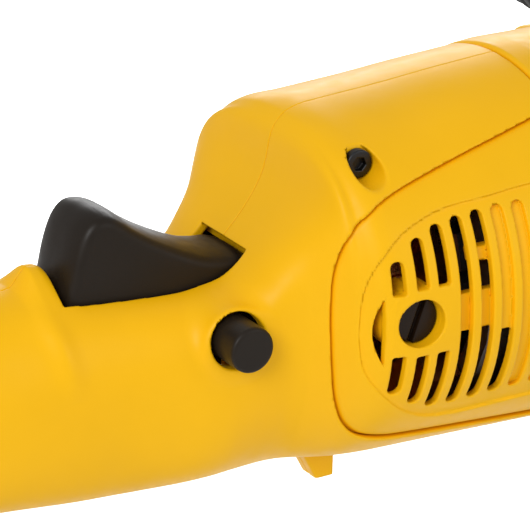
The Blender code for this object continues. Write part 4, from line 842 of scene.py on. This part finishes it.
def exciter_field(x, y, z):
    """Flange, cup and four posts, cast in one."""
    floor, top = EXCITER_Z, EXCITER_Z + 52.0
    flange = smax(rounded_box(x, y, -50, 50, -80, 80, 8), np.abs(z - floor - 4) - 4, 1.5)
    upright = np.abs(z - (floor + 0.5 + top) / 2) - (top - floor - 0.5) / 2
    cup = smax(np.hypot(x, y) - 46, upright, 1.0)
    form = smin(flange, cup, 5.0)
    post = np.hypot(np.abs(x) - ISOLATOR_AT, np.abs(y) - ISOLATOR_AT) - 7.6
    form = smin(form, smax(post, upright, 1.0), 4.0)
    form = np.maximum(form, np.maximum(floor - z, z - top))
    r = np.hypot(x, y)
    cavity = np.minimum(np.maximum(r - 41, floor + 10 - z), np.maximum(r - 16.3, floor + 4 - z))
    thread = np.maximum(np.hypot(np.abs(x) - ISOLATOR_AT, np.abs(y) - ISOLATOR_AT) - 3.3, top - 12 - z)
    bolt = np.hypot(np.abs(x) - 22, np.abs(y) - 68) - 4.3
    return smax(form, -np.minimum.reduce([cavity, thread, bolt]), 0.5)


def foot_field(x, y, z):
    """Plate on the rubber mounts with the column's socket and two ears for the stand."""
    plate = smax(rounded_box(x, y, -55, 55, -55, 55, 12), np.abs(z - FOOT_Z - 3) - 3, 1.0)
    r = np.hypot(x, y)
    socket = smax(r - SOCKET_R, z - COLUMN_Z - 36, 1.5)
    form = smin(plate, socket, 5.0)
    ear = rounded_box(x, z, -74, -50, FOOT_Z, FOOT_Z + 18, 7.8)
    ear = np.maximum(ear, np.abs(np.abs(y) - 40.5) - 2.5)
    ear = np.maximum(ear, -8.0 - (x + 66.0))
    form = smin(form, ear, 1.5)
    form = np.maximum(form, FOOT_Z - z)
    bore_r = np.select([z < FOOT_Z + 5, z < COLUMN_Z - 2.5, z < COLUMN_Z], [24.0, 16.3, 13.0], 25.3)
    holes = np.hypot(np.abs(x) - ISOLATOR_AT, np.abs(y) - ISOLATOR_AT) - 3.3
    axle = np.hypot(x - STAND_X, z - STAND_Z) - 4.3
    return smax(form, -np.minimum.reduce([r - bore_r, holes, axle]), 0.4)


turned("coupling_moulding", (0, 0, COUPLING_Z), (0, 0, 1), [
    (8.3, 0), (19.0, 0), (19.0, 8), (16.0, 10), (16.0, 15), (19.0, 17), (19.0, 25), (8.3, 25),
], "black_rubber", "drive_line", ["flexible_coupling"], closed=True)
cast("gear_case_casting", gear_case_field,
     (steps((-63, 53, 1.15)), steps((-60, 60, 1.15)), steps((804, 908, 1.15))),
     "cast_aluminium", ["gear_case"])
cast("exciter_casting", exciter_field,
     (steps((-52, 52, 1.2)), steps((-82, 82, 1.2)), steps((31, 86, 1.1))),
     "cast_aluminium", ["exciter_housing"])
cast("column_foot_casting", foot_field,
     (steps((-76, 57, 1.2)), steps((-57, 57, 1.2)), steps((115, 175, 1.1))),
     "steel_plate", ["column_foot"])
turned("bearing_box_casting", (0, 0, BOX_Z), (0, 0, 1), [
    (14.0, 0), (14.0, 4.0), (16.3, 4.0), (16.3, 19.0), (20.5, 19.0), (20.5, 14.0), (36.8, 12.0),
    (36.8, BOX_T), (52.0, BOX_T), (52.0, 0), (SOCKET_R, 0), (SOCKET_R, -36), (25.3, -36), (25.3, -1),
], "cast_aluminium", "frame", ["bearing_box"], ease=1.2, closed=True)
turned("column_tube_drawn", (0, 0, COLUMN_Z + GAP), (0, 0, 1), [
    (22.5, 0), (25.0, 0), (25.0, BOX_Z - 1.6 - COLUMN_Z), (22.5, BOX_Z - 1.6 - COLUMN_Z),
], "aluminium", "frame", ["column_tube"], ease=0.4, closed=True)
grip = [(6.0, -11.5), (6.0, 0), (15.0, 0), (15.0, 5), (21.5, 7), (21.5, 11), (14.5, 16)]
for i in range(10):
    s = 24.0 + 7.0 * i
    r = float(np.interp(s, (16, 40, 70, 98), (14.5, 16.8, 17.4, 15.4)))
    grip += [(r, s), (r - 0.9, s + 1.2), (r - 0.9, s + 2.4), (r, s + 3.6)]
grip += [(15.4, 98), (19.5, 112), (19.5, 118), (14.0, 124)]
turned("side_grip_moulding", (GRIP_X, 58.0 + GAP, GRIP_Z), (0, 1, 0), grip, "black_rubber", "frame",
       ["side_grip"], ease=2.0)
middle = float(curve(MIDDLE, np.array(-216.0)))
gland_neck = 8.6 - GAP
turned("cord_gland_moulding", (-165.0 - 228.0, 0, AXIS_Z + middle), (1, 0, 0), [
    (4.6, 0), (7.2, 0), (7.9, 1.2), (10.4, 11.6), (gland_neck, 11.6), (gland_neck, 15.6), (10.4, 15.6),
    (10.4, 19), (4.6, 19),
], "black_rubber", "frame", ["cord_gland"], ease=0.7, closed=True)
for i, (sx, sy) in enumerate(CORNERS):
    turned(f"isolator_{i + 1}_moulding", (sx * ISOLATOR_AT, sy * ISOLATOR_AT, ISOLATOR_Z), (0, 0, 1), [
        (3.0, -PLATE_T - 10), (3.0, 0), (ISOLATOR_R, 0), (ISOLATOR_R, 1.5), (9.5, 7),
        (9.5, ISOLATOR_H - 7), (ISOLATOR_R, ISOLATOR_H - 1.5), (ISOLATOR_R, ISOLATOR_H),
        (3.0, ISOLATOR_H), (3.0, ISOLATOR_H + PLATE_T + 2),
    ], "black_rubber", "frame", [f"isolator_{i + 1}"], turns=48)


def socket_screw(name, base, axis, head_r, head_h, shank_r, length, socket_r, slot, nodes):
    """Cylinder head screw: softened head, hexagon socket, shank; base is the underside of the head."""
    def field(x, y, z):
        r = np.hypot(x, y)
        screw_head = smax(r - head_r, np.abs(z - head_h / 2) - head_h / 2, 0.6)
        sides = np.radians((10, 70, 130))
        key = np.maximum.reduce([np.abs(x * math.cos(a) + y * math.sin(a)) for a in sides])
        screw_head = smax(screw_head, -np.maximum(key - socket_r, head_h * 0.4 - z), 0.25)
        shank = smax(r - shank_r, np.abs(z + length / 2 - 0.3) - length / 2 - 0.3, 0.3)
        return np.minimum(screw_head, shank)

    wide = head_r + 1.0
    across = steps((-wide, wide, 0.35))
    grid = (across, across, steps((-length - 1, -1, 0.8), (-1, head_h + 1, 0.3)))
    points, faces, normals = surface_nets(field, *grid)
    n = Vector(axis).normalized()
    u = n.orthogonal().normalized()
    turn = np.array([u, n.cross(u), n])
    points = points @ turn + np.array(base, float)
    return placed(name, points, normals @ turn, faces.tolist(), slot, "frame", nodes)


for i, (x, y) in enumerate(((-22.0, -68.0), (-22.0, 68.0), (22.0, -68.0), (22.0, 68.0))):
    socket_screw(f"blade_bolt_{i + 1}_forged", (x, y, EXCITER_Z + 8 + GAP), (0, 0, 1),
                 6.5, 5.2, 4.0, 18.0, 2.8, "steel", [f"blade_bolt_{i + 1}"])
for label, z in (("upper", BOX_Z - 18.0), ("lower", COLUMN_Z + 20.0)):
    socket_screw(f"column_screw_{label}_forged", (0, -SOCKET_R - GAP, z), (0, -1, 0),
                 4.6, 4.0, 2.5, 10.0, 1.8, "dark_steel", [f"column_screw_{label}"])
for i, (sx, sy) in enumerate(CORNERS):
    a = 50.5 / math.sqrt(2)
    place = (-165 + HOUSING_FRONT_X + GAP + 12, sx * a, AXIS_Z + RING_Z + sy * a)
    socket_screw(f"housing_screw_{i + 1}", place, (1, 0, 0), 4.2, 3.6, 2.2, 10.0, 1.7, "dark_steel", [])
    a = 44 / math.sqrt(2)
    place = (sx * a, sy * a, CASE_Z + 14)
    socket_screw(f"case_bolt_{i + 1}", place, (0, 0, 1), 5.2, 4.4, 2.8, 12.0, 2.1, "dark_steel", [])

slope = (STAND_Z - STAND_R) / (STAND_X + 330.0)
prop = [(STAND_X, 33, STAND_Z), (STAND_X, 46, STAND_Z), (STAND_X - 2, 51.4, STAND_Z - 1.0),
        (STAND_X - 9, 54, STAND_Z - 9 * slope)]
prop += [(STAND_X - 264 * t, y, STAND_Z - 264 * t * slope) for t, y in ((0.3, 64), (0.6, 76), (0.9, 87))]
prop += [(-324, 86, STAND_R + 2), (-330, 76, STAND_R), (-330, 40, STAND_R)]
prop += [(x, -y, z) for x, y, z in prop[::-1]]
bent_wire("kick_stand_bent", prop, STAND_R, 8.0, "steel", "kick_stand", ["kick_stand"])


# ---- camera, floor and light ---------------------------------------------------------------
def area_light(name, place, target, size, power, colour=(1, 1, 1)):
    data = bpy.data.lights.new(name, "AREA")
    data.shape = "DISK"
    data.size = size
    data.energy = power
    data.color = colour
    lamp = bpy.data.objects.new(name, data)
    bpy.context.scene.collection.objects.link(lamp)
    lamp.location = place
    lamp.rotation_mode = "QUATERNION"
    lamp.visible_camera = False
    lamp.rotation_quaternion = (Vector(target) - Vector(place)).to_track_quat("-Z", "Y")


CAMERA_AT = Vector((-0.65126, -0.77846, 1.23065))
VIEW_BACK = Vector((-0.47753, -0.79475, 0.37461))
camera_data = bpy.data.cameras.new("camera")
camera_data.lens = 253.05
camera_data.sensor_width = 36.0
camera_data.clip_start, camera_data.clip_end = 0.01, 100.0
camera = bpy.data.objects.new("camera", camera_data)
bpy.context.scene.collection.objects.link(camera)
camera.location = CAMERA_AT
camera.rotation_mode = "QUATERNION"
camera.rotation_quaternion = (-VIEW_BACK).to_track_quat("-Z", "Y")
bpy.context.scene.camera = camera

bpy.context.scene.view_settings.view_transform = "Standard"

world = bpy.data.worlds.new("studio")
world.use_nodes = True
world.node_tree.nodes["Background"].inputs["Color"].default_value = (1.0, 1.0, 1.0, 1)
world.node_tree.nodes["Background"].inputs["Strength"].default_value = 0.55
bpy.context.scene.world = world
area_light("key", (-1.9, -1.3, 2.2), (-0.2, 0, 0.86), 1.3, 29)
area_light("fill", (1.2, -2.2, 1.6), (-0.1, 0, 0.8), 1.6, 8)
area_light("floor_light", (1.6, 2.7, 1.5), (1.6, 2.7, 0), 2.2, 130)

floor_mesh = bpy.data.meshes.new("floor")
floor_mesh.from_pydata([(-12, -12, 0), (12, -12, 0), (12, 12, 0), (-12, 12, 0)], [], [(0, 1, 2, 3)])
floor = bpy.data.objects.new("floor", floor_mesh)
bpy.context.scene.collection.objects.link(floor)
floor_mesh.materials.append(finish("studio_floor", (0.9, 0.9, 0.9), 0.8, vary=0.005))
